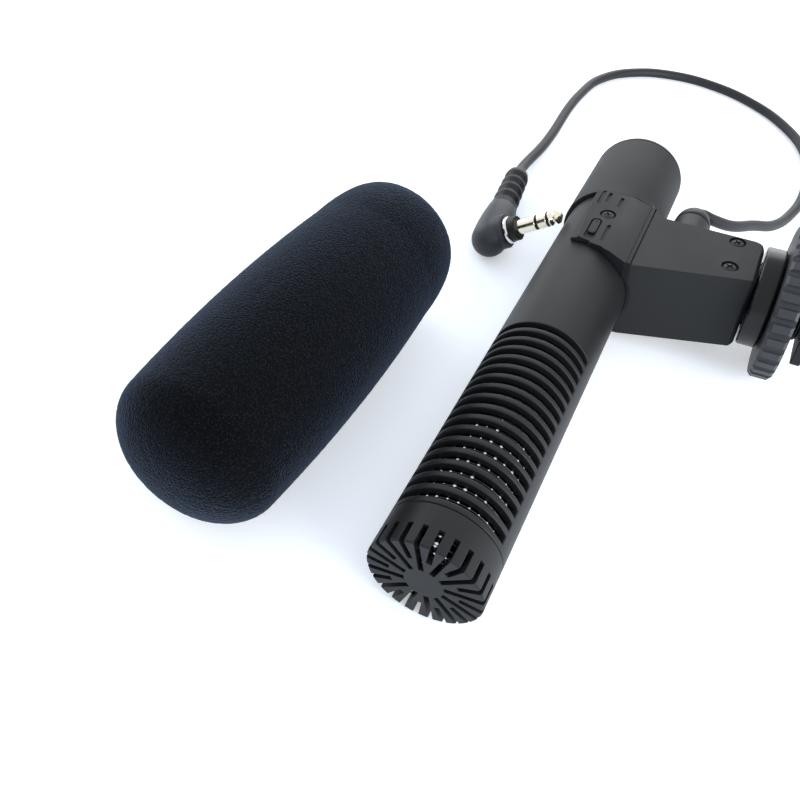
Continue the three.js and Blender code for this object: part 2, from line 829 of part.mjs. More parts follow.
function plateContact() {
  return rod(contact.radius, batteryFront - gap - contact.thickness, batteryFront - gap, screwSides);
}

// Coil that presses on the battery, wound wider towards the cap
function springContact() {
  const from = batteryRear + gap + coil.wire;
  const to = barrelLength - rearCapFloor - gap - coil.wire;
  const points = [];
  const steps = coil.turns * 12;
  for (let step = 0; step <= steps; step += 1) {
    const share = step / steps;
    const angle = 2 * Math.PI * coil.turns * share;
    const radius = coil.narrow + (coil.wide - coil.narrow) * share;
    const along = from + (to - from) * share;
    points.push(new THREE.Vector3(radius * Math.cos(angle), along, radius * Math.sin(angle)));
  }
  return tube(new THREE.CatmullRomCurve3(points), coil.wire, 6, steps);
}

function tube(curve, radius, sides, steps) {
  const shape = new THREE.Shape();
  for (let side = 0; side < sides; side += 1) {
    const angle = (2 * Math.PI * side) / sides;
    shape[side === 0 ? 'moveTo' : 'lineTo'](radius * Math.cos(angle), radius * Math.sin(angle));
  }
  return new THREE.ExtrudeGeometry(shape, { steps, bevelEnabled: false, extrudePath: curve });
}

// Foot of the arm
function footBlock() {
  const near = armNear + armWall + gap;
  const far = armFar - armWall - gap;
  const height = 2 * (armEndHeight - armWall - gap);
  const start = armEnd - footBlockLength;
  const middle = armEnd - footBlockLength / 2;
  const block = solidOf(box(footBlockLength, far - near, height, middle, (near + far) / 2, 0));
  const holes = armScrewPlaces().map(([across, along]) => {
    const hole = rod(screwShankRadius + gap, 0, saddleTop, screwSides).rotateX(Math.PI / 2);
    return solidOf(hole.translate(across, along, 0));
  });
  const boreFrom = armEnd - studBuried - gap;
  const bore = solidOf(onArm(rod(studCore + gap, Math.max(boreFrom, start), armEnd + cutOverrun)));
  return geometryOf(subtractAll(block, holes).subtract(bore));
}

function damper() {
  const bore = studRadius + gap;
  const end = damperStart + damperLength;
  return onArm(turned([
    [bore, damperStart],
    [damperRadius - damperEdge, damperStart],
    [damperRadius, damperStart + damperEdge],
    [damperRadius, end - damperEdge],
    [damperRadius - damperEdge, end],
    [bore, end],
    [bore, damperStart],
  ]));
}

function lockWheel() {
  const pocket = wheelEnd - washerThickness - gap;
  const profile = [
    [studRadius + gap, wheelStart],
    [wheelRadius - wheelEdge, wheelStart],
    [wheelRadius, wheelStart + wheelEdge],
    [wheelRadius, wheelEnd - wheelEdge],
    [wheelRadius - wheelEdge, wheelEnd],
    [washerRadius + gap, wheelEnd],
    [washerRadius + gap, pocket],
    [studRadius + gap, pocket],
    [studRadius + gap, wheelStart],
  ];
  const grooves = [];
  for (let index = 0; index < wheelRibs; index += 1) {
    const groove = new THREE.CylinderGeometry(wheelRibDepth, wheelRibDepth, wheelThickness + cutOverrun, 6);
    groove.translate(wheelRadius, wheelStart + wheelThickness / 2, 0);
    grooves.push(solidOf(groove.rotateY((2 * Math.PI * index) / wheelRibs)));
  }
  const blank = solidOf(turned(profile, wheelSides));
  return onArm(geometryOf(subtractAll(blank, grooves)));
}

function studFlats(radius, from, to) {
  const size = 4 * radius;
  return [-1, 1].map((side) => solidOf(box(
    to - from,
    size,
    size,
    (from + to) / 2,
    footAlong,
    side * (radius + size / 2),
  )));
}

function clampWasher() {
  const washer = solidOf(onArm(rod(washerRadius, wheelEnd - washerThickness, wheelEnd)));
  const hole = solidOf(onArm(rod(studRadius + gap, wheelEnd - cutOverrun, wheelEnd + cutOverrun)));
  const flats = studFlats(studFlat + gap, wheelEnd - 2 * cutOverrun, wheelEnd + 2 * cutOverrun);
  return geometryOf(washer.subtract(subtractAll(hole, flats)));
}

// Threaded stud with two flats, ending in the plate that enters a camera's shoe
function shoeFoot() {
  const plateAt = wheelEnd + footGap;
  const threadFrom = armEnd + gap;
  const shankFrom = armEnd - studBuried;
  const profile = [[0, shankFrom], [studCore, shankFrom], [studCore, threadFrom]];
  const turns = Math.floor((plateAt - threadFrom) / studPitch);
  for (let turn = 0; turn < turns; turn += 1) {
    const at = threadFrom + turn * studPitch;
    profile.push([studRadius - studThread, at], [studRadius, at + studPitch / 2]);
  }
  profile.push([studRadius - studThread, threadFrom + turns * studPitch]);
  profile.push([studRadius - studThread, plateAt + footThickness / 2], [0, plateAt + footThickness / 2]);
  const stud = subtractAll(solidOf(onArm(turned(profile, 24))), studFlats(studFlat, threadFrom, plateAt));
  const plate = new THREE.ExtrudeGeometry(
    roundedRectangle(footSize, footSize, footCorner),
    { depth: footThickness, bevelEnabled: false, curveSegments: 4 },
  );
  plate.rotateY(Math.PI / 2).translate(plateAt, footAlong, 0);
  return geometryOf(stud.add(solidOf(plate)));
}

// Domed gland with a ring groove, standing on the arm's far face
function cordGland() {
  const from = armFar + gap;
  const end = armFar + glandLength;
  const hole = cordRadius + gap;
  const rim = hole + glandRim;
  const { depth, width, slope, fromEnd } = glandGroove;
  const grooveAt = end - fromEnd;
  const domeAt = grooveAt + width + slope;
  const domeRadius = glandRadius - slope;
  const profile = [
    [hole, from],
    [glandRadius, from],
    [glandRadius, grooveAt],
    [glandRadius - depth, grooveAt + slope],
    [glandRadius - depth, grooveAt + width],
    [domeRadius, domeAt],
  ];
  const steps = 5;
  for (let step = 1; step <= steps; step += 1) {
    const angle = (step / steps) * (Math.PI / 2);
    profile.push([rim + (domeRadius - rim) * Math.cos(angle), domeAt + (end - domeAt) * Math.sin(angle)]);
  }
  profile.push([hole, end], [hole, from]);
  return turned(profile, 24).translate(glandAcross, 0, glandUp);
}

// Windscreen: blunt rounded nose, slightly bulged side, rounded open end with a bore
function windscreen() {
  const shapeStart = foam.front + foam.noseLength;
  const shapeEnd = foam.rear - foam.rearLength;
  const middle = (shapeStart + shapeEnd) / 2;
  const half = (shapeEnd - shapeStart) / 2;
  const side = (along) => foam.radius - foam.bulge * ((along - middle) / half) ** 2;
  const profile = [];
  for (let step = 0; step < foam.steps; step += 1) {
    const angle = (step / foam.steps) * (Math.PI / 2);
    const along = shapeStart - foam.noseLength * Math.cos(angle);
    profile.push([side(shapeStart) * Math.sin(angle) ** foam.noseRoundness, along]);
  }
  for (let step = 0; step < foam.steps; step += 1) {
    const along = shapeStart + ((shapeEnd - shapeStart) * step) / foam.steps;
    profile.push([side(along), along]);
  }
  for (let step = 0; step <= foam.steps; step += 1) {
    const angle = (step / foam.steps) * (Math.PI / 2);
    const radius = foam.rimRadius + (side(shapeEnd) - foam.rimRadius) * Math.cos(angle);
    profile.push([radius, shapeEnd + foam.rearLength * Math.sin(angle)]);
  }
  profile.push([foam.boreRadius, foam.rear], [foam.boreRadius, foam.boreEnd], [0, foam.boreEnd]);
  const shift = -foam.middle.y;
  const shape = turned(profile, foam.sides).translate(0, shift, 0).rotateZ(foam.heading);
  return shape.translate(foam.middle.x, foam.middle.y, foam.middle.z);
}

// Right-angle plug, modelled with its strain relief along +Y and its pin along +X
function plugBody() {
  const profile = [];
  const steps = 6;
  for (let step = 0; step < steps; step += 1) {
    const angle = (step / steps) * (Math.PI / 2);
    profile.push([plugRadius * Math.sin(angle), -plugTail - plugRadius * Math.cos(angle)]);
  }
  profile.push([plugRadius, -plugTail]);
  profile.push([plugRadius * plugWaistShares.radius, plugBarrel * plugWaistShares.along]);
  profile.push([reliefRadius + plugNeck, plugBarrel], [0, plugBarrel]);
  const boss = rod(plugRadius * plugBossShare, 0, plugFace, 32).rotateZ(-Math.PI / 2);
  return geometryOf(solidOf(turned(profile, 32)).add(solidOf(boss)));
}

function plugRelief() {
  const from = plugBarrel + gap;
  const to = plugBarrel + reliefLength;
  const pitch = (to - from) / (reliefRibs + 1);
  const wide = reliefRadius + reliefFlare;
  const profile = [[0, from], [wide, from]];
  for (let index = 0; index < reliefRibs; index += 1) {
    const at = from + pitch * (index + 0.5);
    const radius = wide - reliefTaper * (index / reliefRibs);
    const waist = radius - reliefWaist;
    profile.push([radius, at], [waist, at + 0.25 * pitch], [waist, at + 0.5 * pitch]);
    profile.push([radius - reliefTaper / reliefRibs, at + 0.75 * pitch]);
  }
  profile.push([reliefRadius, to - reliefEnd], [reliefRadius * 0.8, to], [0, to]);
  return turned(profile, 20);
}

// Pin pieces run along the plug's local +X from its face
function alongPin(geometry) {
  return geometry.rotateZ(-Math.PI / 2);
}

const plugFace = plugRadius + jackFit;
const collarAt = plugFace + gap;
const bossAt = collarAt + collarThickness + gap;
const bossEnd = bossAt + jackBoss.length;
const sleeveEnd = collarAt + jackSleeveReach;
const ringAt = sleeveEnd + jackInsulator;
const ringEnd = ringAt + jackRingLength;
const tipAt = ringEnd + jackInsulator;

function plugCollar() {
  return alongPin(rod(collarRadius, collarAt, collarAt + collarThickness, 28));
}

// Insulating core: a boss at the plug, then a rod with a flange between the poles
function jackCore() {
  const flange = jackRadius - jackFit / 2;
  const profile = [
    [0, bossAt],
    [jackBoss.radius, bossAt],
    [jackBoss.radius, bossEnd],
    [jackCoreRadius, bossEnd],
    [jackCoreRadius, sleeveEnd + jackFit],
    [flange, sleeveEnd + jackFit],
    [flange, ringAt - jackFit],
    [jackCoreRadius, ringAt - jackFit],
    [jackCoreRadius, ringEnd + jackFit],
    [flange, ringEnd + jackFit],
    [flange, tipAt - jackFit],
    [0, tipAt - jackFit],
  ];
  return alongPin(turned(profile, 20));
}

function jackSleeve() {
  return alongPin(ring(jackCoreRadius + jackFit, jackRadius, bossEnd + jackFit, sleeveEnd, 20));
}

function jackRing() {
  return alongPin(ring(jackCoreRadius + jackFit, jackRadius, ringAt, ringEnd, 20));
}

function jackTip() {
  const { setback, step, share, edge, endShare } = jackTipNeck;
  const end = collarAt + jackLength;
  const profile = [
    [0, tipAt],
    [jackRadius, tipAt],
    [jackRadius, tipAt + edge],
    [jackRadius * share, tipAt + setback],
    [jackRadius, tipAt + setback + step],
    [jackRadius * endShare, end - edge],
    [0, end],
  ];
  return alongPin(turned(profile, 20));
}

function plugPlace() {
  const place = new THREE.Matrix4().makeTranslation(plugElbow.x, plugElbow.y, plugElbow.z);
  place.multiply(new THREE.Matrix4().makeRotationZ(plugHeading));
  return place.multiply(new THREE.Matrix4().makeRotationY(-plugLean));
}

// Route from the gland down to the table: shares of the way across, along and down
const cordRouteShares = [
  [0.03, 0.058, 0.994],
  [0.158, 0.128, 0.91],
  [0.332, 0.215, 0.704],
  [0.544, 0.367, 0.458],
  [0.764, 0.562, 0.2],
  [0.923, 0.8, 0.032],
  [1, 1, 0],
];

// Cord: out of the gland, down to the table, round behind the barrel and into the plug
function cordPath() {
  const mouth = new THREE.Vector3(glandAcross, armFar + glandLength + gap, glandUp);
  const exit = mouth.applyMatrix4(microphonePlace());
  const level = cordRadius + cordClearance;
  const points = [exit];
  cordRouteShares.forEach(([across, along, up]) => {
    points.push(new THREE.Vector3(
      exit.x + across * cordAcross,
      exit.y + along * cordRun,
      level + up * (exit.z - level),
    ));
  });
  const plugEnd = plugBarrel + reliefLength + gap;
  const entry = new THREE.Vector3(0, plugEnd, 0).applyMatrix4(plugPlace());
  const beforeEntry = new THREE.Vector3(0, plugEnd + cordRise, 0).applyMatrix4(plugPlace());
  beforeEntry.z = (level + entry.z) / 2;
  const right = exit.x + cordAcross;
  const loopRadius = (right - entry.x) / 2;
  const loopAlong = exit.y + cordRun + cordStraight;
  const steps = 8;
  for (let step = 0; step <= steps; step += 1) {
    const angle = (Math.PI * step) / steps;
    points.push(new THREE.Vector3(
      right - loopRadius + loopRadius * Math.cos(angle),
      loopAlong + loopRadius * Math.sin(angle),
      level,
    ));
  }
  points.push(new THREE.Vector3(entry.x, entry.y + 4 * cordRise, level));
  points.push(beforeEntry, entry);
  return new THREE.CatmullRomCurve3(points, false, 'centripetal');
}

function cord() {
  return tube(cordPath(), cordRadius, cordSides, cordSteps);
}

// The microphone lies on its barrel and its wheel, so the arm tilts up towards the foot
function microphonePlace() {
  const place = new THREE.Matrix4().makeTranslation(0, 0, barrelRadius);
  return place.multiply(new THREE.Matrix4().makeRotationY(-armTilt));
}

const microphone = new THREE.Group();
microphone.name = 'microphone';
microphone.add(
  meshOf('nose_cap', noseCap(), 'shell'),
  meshOf('barrel_tube', barrelTube(), 'shell'),
  meshOf('rear_cap', rearCap(), 'shell'),
  meshOf('sound_mesh', soundMesh(), 'mesh'),
  meshOf('capsule_holder', capsuleHolder(), 'rubber'),
  meshOf('capsule_left', capsule(-1), 'silver'),
  meshOf('capsule_right', capsule(1), 'silver'),
  meshOf('preamp_board', board(), 'board'),
  meshOf('board_chip', boardChip(), 'black'),
  meshOf('board_capacitor', boardCapacitor(), 'silver'),
  meshOf('battery', battery(), 'battery'),
  meshOf('battery_cradle', batteryCradle(), 'black'),
  meshOf('plate_contact', plateContact(), 'silver'),
  meshOf('spring_contact', springContact(), 'silver'),
  meshOf('housing', housing(), 'arm'),
  meshOf('switch_plate', switchPlate(), 'arm'),
  meshOf('switch_knob', switchKnob(), 'black'),
  meshOf('switch_body', switchBody(), 'black'),
  screwMesh('plate_screw', plateScrewAt.across, plateScrewAt.along, saddleTop, plateScrewShank),
  meshOf('foot_block', footBlock(), 'black'),
  meshOf('neck_damper', damper(), 'rubber'),
  meshOf('lock_wheel', lockWheel(), 'arm'),
  meshOf('clamp_washer', clampWasher(), 'silver'),
  meshOf('shoe_foot', shoeFoot(), 'black'),
  meshOf('cord_gland', cordGland(), 'rubber'),
);
armScrewPlaces().forEach(([across, along], index) => {
  microphone.add(screwMesh(`arm_screw_${index + 1}`, across, along, armTopAt(across), armScrewShank));
});
microphone.applyMatrix4(microphonePlace());

const plug = new THREE.Group();
plug.name = 'plug';
plug.add(
  meshOf('plug_body', plugBody(), 'cord'),
  meshOf('plug_relief', plugRelief(), 'cord'),
  meshOf('plug_collar', plugCollar(), 'silver'),
  meshOf('jack_core', jackCore(), 'black'),
  meshOf('jack_sleeve', jackSleeve(), 'gold'),
  meshOf('jack_ring', jackRing(), 'gold'),
  meshOf('jack_tip', jackTip(), 'gold'),
);
plug.applyMatrix4(plugPlace());

const screen = meshOf('windscreen', windscreen(), 'foam');
const lead = meshOf('cord_free', cord(), 'cord');

// The origin stands under the middle of the microphone and its windscreen
const row = new THREE.Group();
row.name = 'on_camera_microphone';
const solidParts = new THREE.Group();
solidParts.add(microphone, screen);
solidParts.updateMatrixWorld(true);
const reach = new THREE.Box3().setFromObject(solidParts, true);
const middle = reach.getCenter(new THREE.Vector3());
row.add(microphone, screen, plug, lead);
row.position.set(-middle.x, -middle.y, -reach.min.z);
row.updateMatrixWorld(true);

export default row;
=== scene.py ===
# On-camera microphone lying on its side, with its foam windscreen taken off beside it.
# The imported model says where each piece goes; this script gives the pieces their looks.
import math
import bmesh
import bpy
from mathutils import Matrix, Vector


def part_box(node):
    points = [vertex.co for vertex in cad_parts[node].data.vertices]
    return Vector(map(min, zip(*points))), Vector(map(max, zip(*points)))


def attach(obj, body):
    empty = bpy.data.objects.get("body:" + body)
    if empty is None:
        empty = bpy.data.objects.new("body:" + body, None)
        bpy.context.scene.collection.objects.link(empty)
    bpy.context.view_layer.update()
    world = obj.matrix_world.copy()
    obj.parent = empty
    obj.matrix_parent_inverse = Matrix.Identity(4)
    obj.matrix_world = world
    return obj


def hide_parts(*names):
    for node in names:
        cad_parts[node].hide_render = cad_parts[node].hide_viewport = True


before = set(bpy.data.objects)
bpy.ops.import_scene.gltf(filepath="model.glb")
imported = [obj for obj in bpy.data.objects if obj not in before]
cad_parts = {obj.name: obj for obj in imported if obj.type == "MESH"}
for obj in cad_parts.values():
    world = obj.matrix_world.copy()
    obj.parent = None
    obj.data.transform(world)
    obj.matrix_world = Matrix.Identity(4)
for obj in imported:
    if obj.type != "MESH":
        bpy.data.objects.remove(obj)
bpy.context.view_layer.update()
mm = 0.001

# Main sizes in millimetres: the barrel runs along Y from its nose, the arm along X
barrelRadius = 10.0
barrelLength = 133.5
rearCapLength = 2.6
capSeat = barrelLength - rearCapLength
tubeEnd = capSeat - 0.2
saddleFront = barrelLength - 52.3
shellRadius = 10.9
shellBore = 10.15
crownTop = 11.0
crownRight = 4.4
plateRight = 8.4
plateRear = saddleFront + 22.8
armFar = saddleFront + 20.3
armEnd = 33.6
gap = 0.3

# Where shapes that cut begin and end, past what they cut
cutFront = 70
cutTop = 14
overrun = 2

# Foot, wheel and washer along the arm's axis
foot = {
    "along": saddleFront + 13.5, "bore": 7.3, "edge": 0.6,
    "damperStart": armEnd + gap, "damperLength": 4.2, "damperRadius": 10.6,
    "wheelStart": armEnd + 4.8, "wheel": 4.5, "wheelRadius": 16.5, "ribs": 32, "ribDepth": 0.8,
    "recess": 10.8, "recessDepth": 1.5, "washer": 10.5, "washerThick": 1.2,
    "buried": 8, "buriedRadius": 4.0, "stud": 7.0, "thread": 0.45, "pitch": 1.0,
    "crest": 0.05, "crestFrom": 0.42, "crestTo": 0.55, "flat": 6.1, "flatBlock": (20, 6),
    "gap": 2.6, "plate": 17.6, "plateThick": 2.0, "plateCorner": 1.2, "plateEdge": 0.2,
}

# The microphone rests on its barrel and on the wheel's rim, which tilts the arm down to the table
barrelLow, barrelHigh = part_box("barrel_tube")
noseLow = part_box("nose_cap")[0]
axisPoint = Vector(((barrelLow.x + barrelHigh.x) / 2, noseLow.y, (barrelLow.z + barrelHigh.z) / 2))
rimAt = foot["wheelStart"] + foot["edge"]
rimReach = math.hypot(rimAt, foot["wheelRadius"])
armTilt = math.atan2(foot["wheelRadius"], rimAt) - math.asin(barrelRadius / rimReach)
micPlace = Matrix.Translation(axisPoint) @ Matrix.Rotation(-armTilt, 4, "Y") @ Matrix.Scale(mm, 4)
tableOrigin = axisPoint - Vector((0, 0, barrelRadius * mm))
tablePlace = Matrix.Translation(tableOrigin) @ Matrix.Scale(mm, 4)

# Plug: its body and strain relief lie along Y before it is turned, and its pin along X
plug = {
    "elbow": (-24.8, 94.0, 4.45), "radius": 4.3, "tail": 1.4, "barrel": 11.0, "barrelRadius": 3.2,
    "heading": 7.0,  # degrees from the barrel's direction
    "lean": 38.5,  # degrees that the pin rises
    "waist": ((1.0, 0), (0.99, 3), (0.94, 6.6)),  # share of the radius, place along the body
    "shoulder": 0.6, "shoulderAt": 10.6, "bossShares": (0.93, 0.88),
    "reliefLength": 17.0, "reliefRadius": 3.0, "reliefGap": 0.05,
    "ribs": 4, "ribRise": 0.3, "ribTaper": 0.06, "ribLead": 0.15,
    "groove": ((0.1, 0.0), (0.6, 0.25), (0.7, 0.38), (0.6, 0.5), (0.15, 0.7), (0.05, 0.8)),
    "tip": ((1.0, 1.6), (0.93, 0.6), (0.6, 0)),  # share of the radius, distance from the end
    "pinRadius": 1.75, "pinLength": 13.6,
}
plugPlace = (
    tablePlace
    @ Matrix.Translation(plug["elbow"])
    @ Matrix.Rotation(math.radians(plug["heading"]), 4, "Z")
    @ Matrix.Rotation(-math.radians(plug["lean"]), 4, "Y")
)


def linked(name, data):
    made = bpy.data.objects.new(name, data)
    bpy.context.scene.collection.objects.link(made)
    return made


# The camera stands where the photograph was taken from
cameraView = {
    "place": (8.43, -60.38, 120.51), "right": (0.8895, 0.4357, 0.1377),
    "down": (0.4156, -0.6461, -0.6402), "sensor": 36.0, "lens": 36.0, "clipStart": 0.005,
}


def makeCamera():
    v = cameraView
    data = bpy.data.cameras.new("camera")
    data.sensor_width = v["sensor"]
    data.lens = v["lens"]
    data.clip_start = v["clipStart"]
    camera = linked("camera", data)
    right = Vector(v["right"]).normalized()
    up = -Vector(v["down"])
    up = (up - up.dot(right) * right).normalized()
    facing = Matrix((right, up, right.cross(up))).transposed().to_4x4()
    camera.matrix_world = Matrix.Translation(tablePlace @ Vector(v["place"])) @ facing
    bpy.context.scene.camera = camera


makeCamera()
print("camera set")


# Shader maths as plain expressions
class Signal:
    def __init__(self, nodes, out):
        self.nodes = nodes
        self.out = out

    def maths(self, operation, first, second=0.0):
        return self.nodes.node("ShaderNodeMath", {"operation": operation}, {0: first, 1: second})

    def __add__(self, other):
        return self.maths("ADD", self, other)

    def __sub__(self, other):
        return self.maths("SUBTRACT", self, other)

    def __rsub__(self, other):
        return self.maths("SUBTRACT", other, self)

    def __mul__(self, other):
        return self.maths("MULTIPLY", self, other)

    def __pow__(self, other):
        return self.maths("POWER", self, other)

    def wave(self):
        return self.maths("ABSOLUTE", self.maths("SINE", self))

    def above(self, edge):
        return self.maths("GREATER_THAN", self, edge)

    def larger(self, other):
        return self.maths("MAXIMUM", self, other)


# A node tree and what can be added to it; the noises count cells per millimetre
class Nodes:
    def __init__(self, tree):
        self.tree = tree

    def feed(self, socket, value):
        if isinstance(value, Signal):
            self.tree.links.new(value.out, socket)
        else:
            socket.default_value = value

    def node(self, kind, settings=None, inputs=None, output=0):
        made = self.tree.nodes.new(kind)
        for key, value in (settings or {}).items():
            if key == "stops":
                self.setStops(made.color_ramp, value)
            else:
                setattr(made, key, value)
        for key, value in (inputs or {}).items():
            self.feed(made.inputs[key], value)
        return Signal(self, made.outputs[output])

    def setStops(self, ramp, stops):
        while len(ramp.elements) < len(stops):
            ramp.elements.new(1.0)
        for element, (place, colour) in zip(ramp.elements, stops):
            element.position = place
            element.color = colour

    def place(self):
        return self.node("ShaderNodeTexCoord", output="Object")

    def noise(self, cells, detail=3.0, roughness=0.5):
        inputs = {"Vector": self.place(), "Scale": cells / mm, "Detail": detail, "Roughness": roughness}
        return self.node("ShaderNodeTexNoise", None, inputs)

    def pores(self, cells):
        inputs = {"Vector": self.place(), "Scale": cells / mm}
        return self.node("ShaderNodeTexVoronoi", None, inputs, "Distance")

    def part(self, value, axis):
        return self.node("ShaderNodeSeparateXYZ", None, {0: value}, axis)

    def ramp(self, value, stops):
        return self.node("ShaderNodeValToRGB", {"stops": stops}, {"Fac": value}, "Color")

    def blend(self, share, first, second):
        return self.node("ShaderNodeMix", {"data_type": "RGBA"}, {0: share, 6: first, 7: second}, 2)

    # One for rays that show the background itself: seen directly, in a reflection or through glass
    def backgroundRays(self):
        seen = self.node("ShaderNodeLightPath", output="Is Camera Ray")
        for output in ("Is Glossy Ray", "Is Transmission Ray"):
            seen = seen.larger(self.node("ShaderNodeLightPath", output=output))
        return seen


# A material whose shader is driven by its nodes
class Finish(Nodes):
    def __init__(self, name, settings):
        self.material = bpy.data.materials.new(name)
        self.material.use_nodes = True
        super().__init__(self.material.node_tree)
        self.shader = self.tree.nodes["Principled BSDF"]
        for key, value in settings.items():
            self.set(key, value)

    def set(self, name, value):
        self.feed(self.shader.inputs[name], value)

    def bump(self, height, strength, distance):
        inputs = {"Height": height, "Strength": strength, "Distance": distance * mm}
        self.set("Normal", self.node("ShaderNodeBump", None, inputs))


# Greys lean slightly to blue
coolTint = (0.93, 1.0, 1.1)


def grey(level):
    return tuple(level * share for share in coolTint) + (1.0,)


# Moulded plastic: fine spark-eroded grain and slow changes of tone
plastic = {"slowCells": 0.09, "grainCells": 5.5, "dark": 0.88, "light": 1.14, "swing": 0.14, "depth": 0.02}


def plasticFinish(name, level, roughness, grain, shine=0.28):
    p = plastic
    finish = Finish(name, {"Specular IOR Level": shine})
    slow = finish.noise(p["slowCells"], detail=4.0)
    fine = finish.noise(p["grainCells"], detail=2.0)
    finish.set("Base Color", finish.blend(slow, grey(level * p["dark"]), grey(level * p["light"])))
    finish.set("Roughness", (slow - 0.5) * p["swing"] + roughness)
    finish.bump(fine, grain, p["depth"])
    return finish.material


# Smooth synthetic rubber
rubber = {
    "shader": {"Specular IOR Level": 0.25, "Coat Weight": 0.06, "Coat Roughness": 0.3},
    "slowCells": 0.2, "fineCells": 2.5, "dark": 0.85, "light": 1.15,
    "swing": 0.12, "bump": 0.2, "depth": 0.02,
}


def rubberFinish(name, level, roughness):
    r = rubber
    finish = Finish(name, r["shader"])
    slow = finish.noise(r["slowCells"])
    fine = finish.noise(r["fineCells"])
    finish.set("Base Color", finish.blend(slow, grey(level * r["dark"]), grey(level * r["light"])))
    finish.set("Roughness", fine * r["swing"] + (roughness - r["swing"] / 2))
    finish.bump(fine, r["bump"], r["depth"])
    return finish.material


# Plated metal with faint polishing scratches
metal = {"scratchCells": 1.6, "dark": 0.85, "swing": 0.2, "bump": 0.12, "depth": 0.01}


def metalFinish(name, colour, roughness):
    m = metal
    finish = Finish(name, {"Metallic": 1.0})
    scratch = finish.noise(m["scratchCells"], detail=6.0, roughness=0.7)
    darker = [channel * m["dark"] for channel in colour]
    finish.set("Base Color", finish.blend(scratch, darker + [1], list(colour) + [1]))
    finish.set("Roughness", scratch * m["swing"] + (roughness - m["swing"] / 2))
    finish.bump(scratch, m["bump"], m["depth"])
    return finish.material


# Open-cell foam: pores painted near-black as painted shade, and struts painted lighter as a painted highlight
# where they catch the light
foamLook = {
    "shader": {
        "Roughness": 0.8, "Specular IOR Level": 0.06,
        "Sheen Weight": 0.19, "Sheen Roughness": 0.38, "Sheen Tint": (0.50, 0.66, 0.95, 1.0),
    },
    "poreCells": 2.7, "fibreCells": 4.0, "slowCells": 0.06,
    "fibreShare": 0.4, "strutLevel": 0.8, "slowShare": 0.4,
    # near-black for the painted shade in the pores, light for the painted highlight on the struts
    "tones": (
        (0.40, (0.0004, 0.0005, 0.0008, 1)),
        (0.72, (0.0020, 0.0024, 0.0034, 1)),
        (0.95, (0.0180, 0.0210, 0.0270, 1)),
    ),
    "slowTone": (0.0018, 0.0022, 0.0030, 1), "bump": 0.7, "depth": 0.22,
}


def foamFinish():
    f = foamLook
    finish = Finish("foam", f["shader"])
    pores = finish.pores(f["poreCells"])
    fibres = finish.noise(f["fibreCells"], detail=2.0)
    slow = finish.noise(f["slowCells"])
    struts = fibres * f["fibreShare"] - pores + f["strutLevel"]
    # The ramp paints shade into the pores and a highlight onto the struts; the bump is real relief
    tone = finish.ramp(struts, f["tones"])
    finish.set("Base Color", finish.blend(slow * f["slowShare"], tone, f["slowTone"]))
    finish.bump(struts, f["bump"], f["depth"])
    return finish.material


# Wire mesh, read from the piece's own UV map: painted shade in the gaps between the wires, a painted
# highlight along their crests, and painted glints that glow at crossings near the nose
wireLook = {
    # the emission strength makes the painted glints glow
    "shader": {"Metallic": 1.0, "Roughness": 0.35, "Emission Strength": 0.65},
    # gaps near-black as painted shade, crests lighter as a painted highlight
    "tones": (
        (0.80, (0.002, 0.002, 0.003, 1)),
        (0.95, (0.02, 0.02, 0.022, 1)),
        (1.00, (0.10, 0.10, 0.11, 1)),
    ),
    "patchCells": 0.35, "patchShare": 0.40, "patchLevel": 0.765, "roundness": 3.0, "bump": 1.0,
    "depth": 0.35, "paintedGlintAbove": 0.925, "paintedGlintEnd": 30.0, "paintedGlint": (0.93, 0.97, 1.0, 1),
}


def wireFinish():
    w = wireLook
    finish = Finish("wireMesh", w["shader"])
    mapped = finish.node("ShaderNodeUVMap", {"uv_map": "wires"})
    across = finish.part(mapped, "X")
    along = finish.part(mapped, "Y")
    lengthwise = (across * math.pi).wave()
    crosswise = (along * math.pi).wave()
    wire = lengthwise.larger(crosswise)
    patches = finish.noise(w["patchCells"], detail=2.0)
    # Painted glints: spots at the wire crossings that glow through emission, only up to a set distance from
    # the nose
    meeting = lengthwise * crosswise * (patches * w["patchShare"] + w["patchLevel"])
    paintedGlintSpots = meeting.above(w["paintedGlintAbove"])
    place = finish.part(finish.place(), "Y")
    near = (w["paintedGlintEnd"] * mm + axisPoint.y - place).above(0.0)
    # Base colour carries the painted shade and highlight; the emission colour carries the painted glints
    finish.set("Base Color", finish.ramp(wire, w["tones"]))
    finish.set("Emission Color", finish.blend(paintedGlintSpots * near, (0, 0, 0, 1), w["paintedGlint"]))
    finish.bump(wire ** w["roundness"], w["bump"], w["depth"])
    return finish.material


shellFinish = plasticFinish("shellPlastic", 0.010, 0.50, 0.25)
armFinish = plasticFinish("armPlastic", 0.011, 0.58, 0.5)
wheelFinish = plasticFinish("wheelPlastic", 0.034, 0.48, 0.3, 0.40)
blackFinish = plasticFinish("blackPlastic", 0.006, 0.45, 0.2)
boardFinish = plasticFinish("boardGreen", 0.05, 0.4, 0.1)
dampFinish = rubberFinish("neckRubber", 0.008, 0.22)
cordFinish = rubberFinish("cordVinyl", 0.016, 0.50)
plugFinish = rubberFinish("plugVinyl", 0.042, 0.50)
holderFinish = rubberFinish("holderRubber", 0.02, 0.6)
screwFinish = metalFinish("blackedSteel", (0.045, 0.048, 0.052), 0.5)
goldFinish = metalFinish("paleGold", (0.95, 0.90, 0.74), 0.2)
silverFinish = metalFinish("plated", (0.80, 0.81, 0.82), 0.22)
cellFinish = metalFinish("cellWrap", (0.36, 0.38, 0.40), 0.35)
print("finishes made")


# Modelling helpers; every shape is made in millimetres and placed when it is finished
weldReach = 1e-5
sliverReach = 1e-6
allSmooth = 180.0


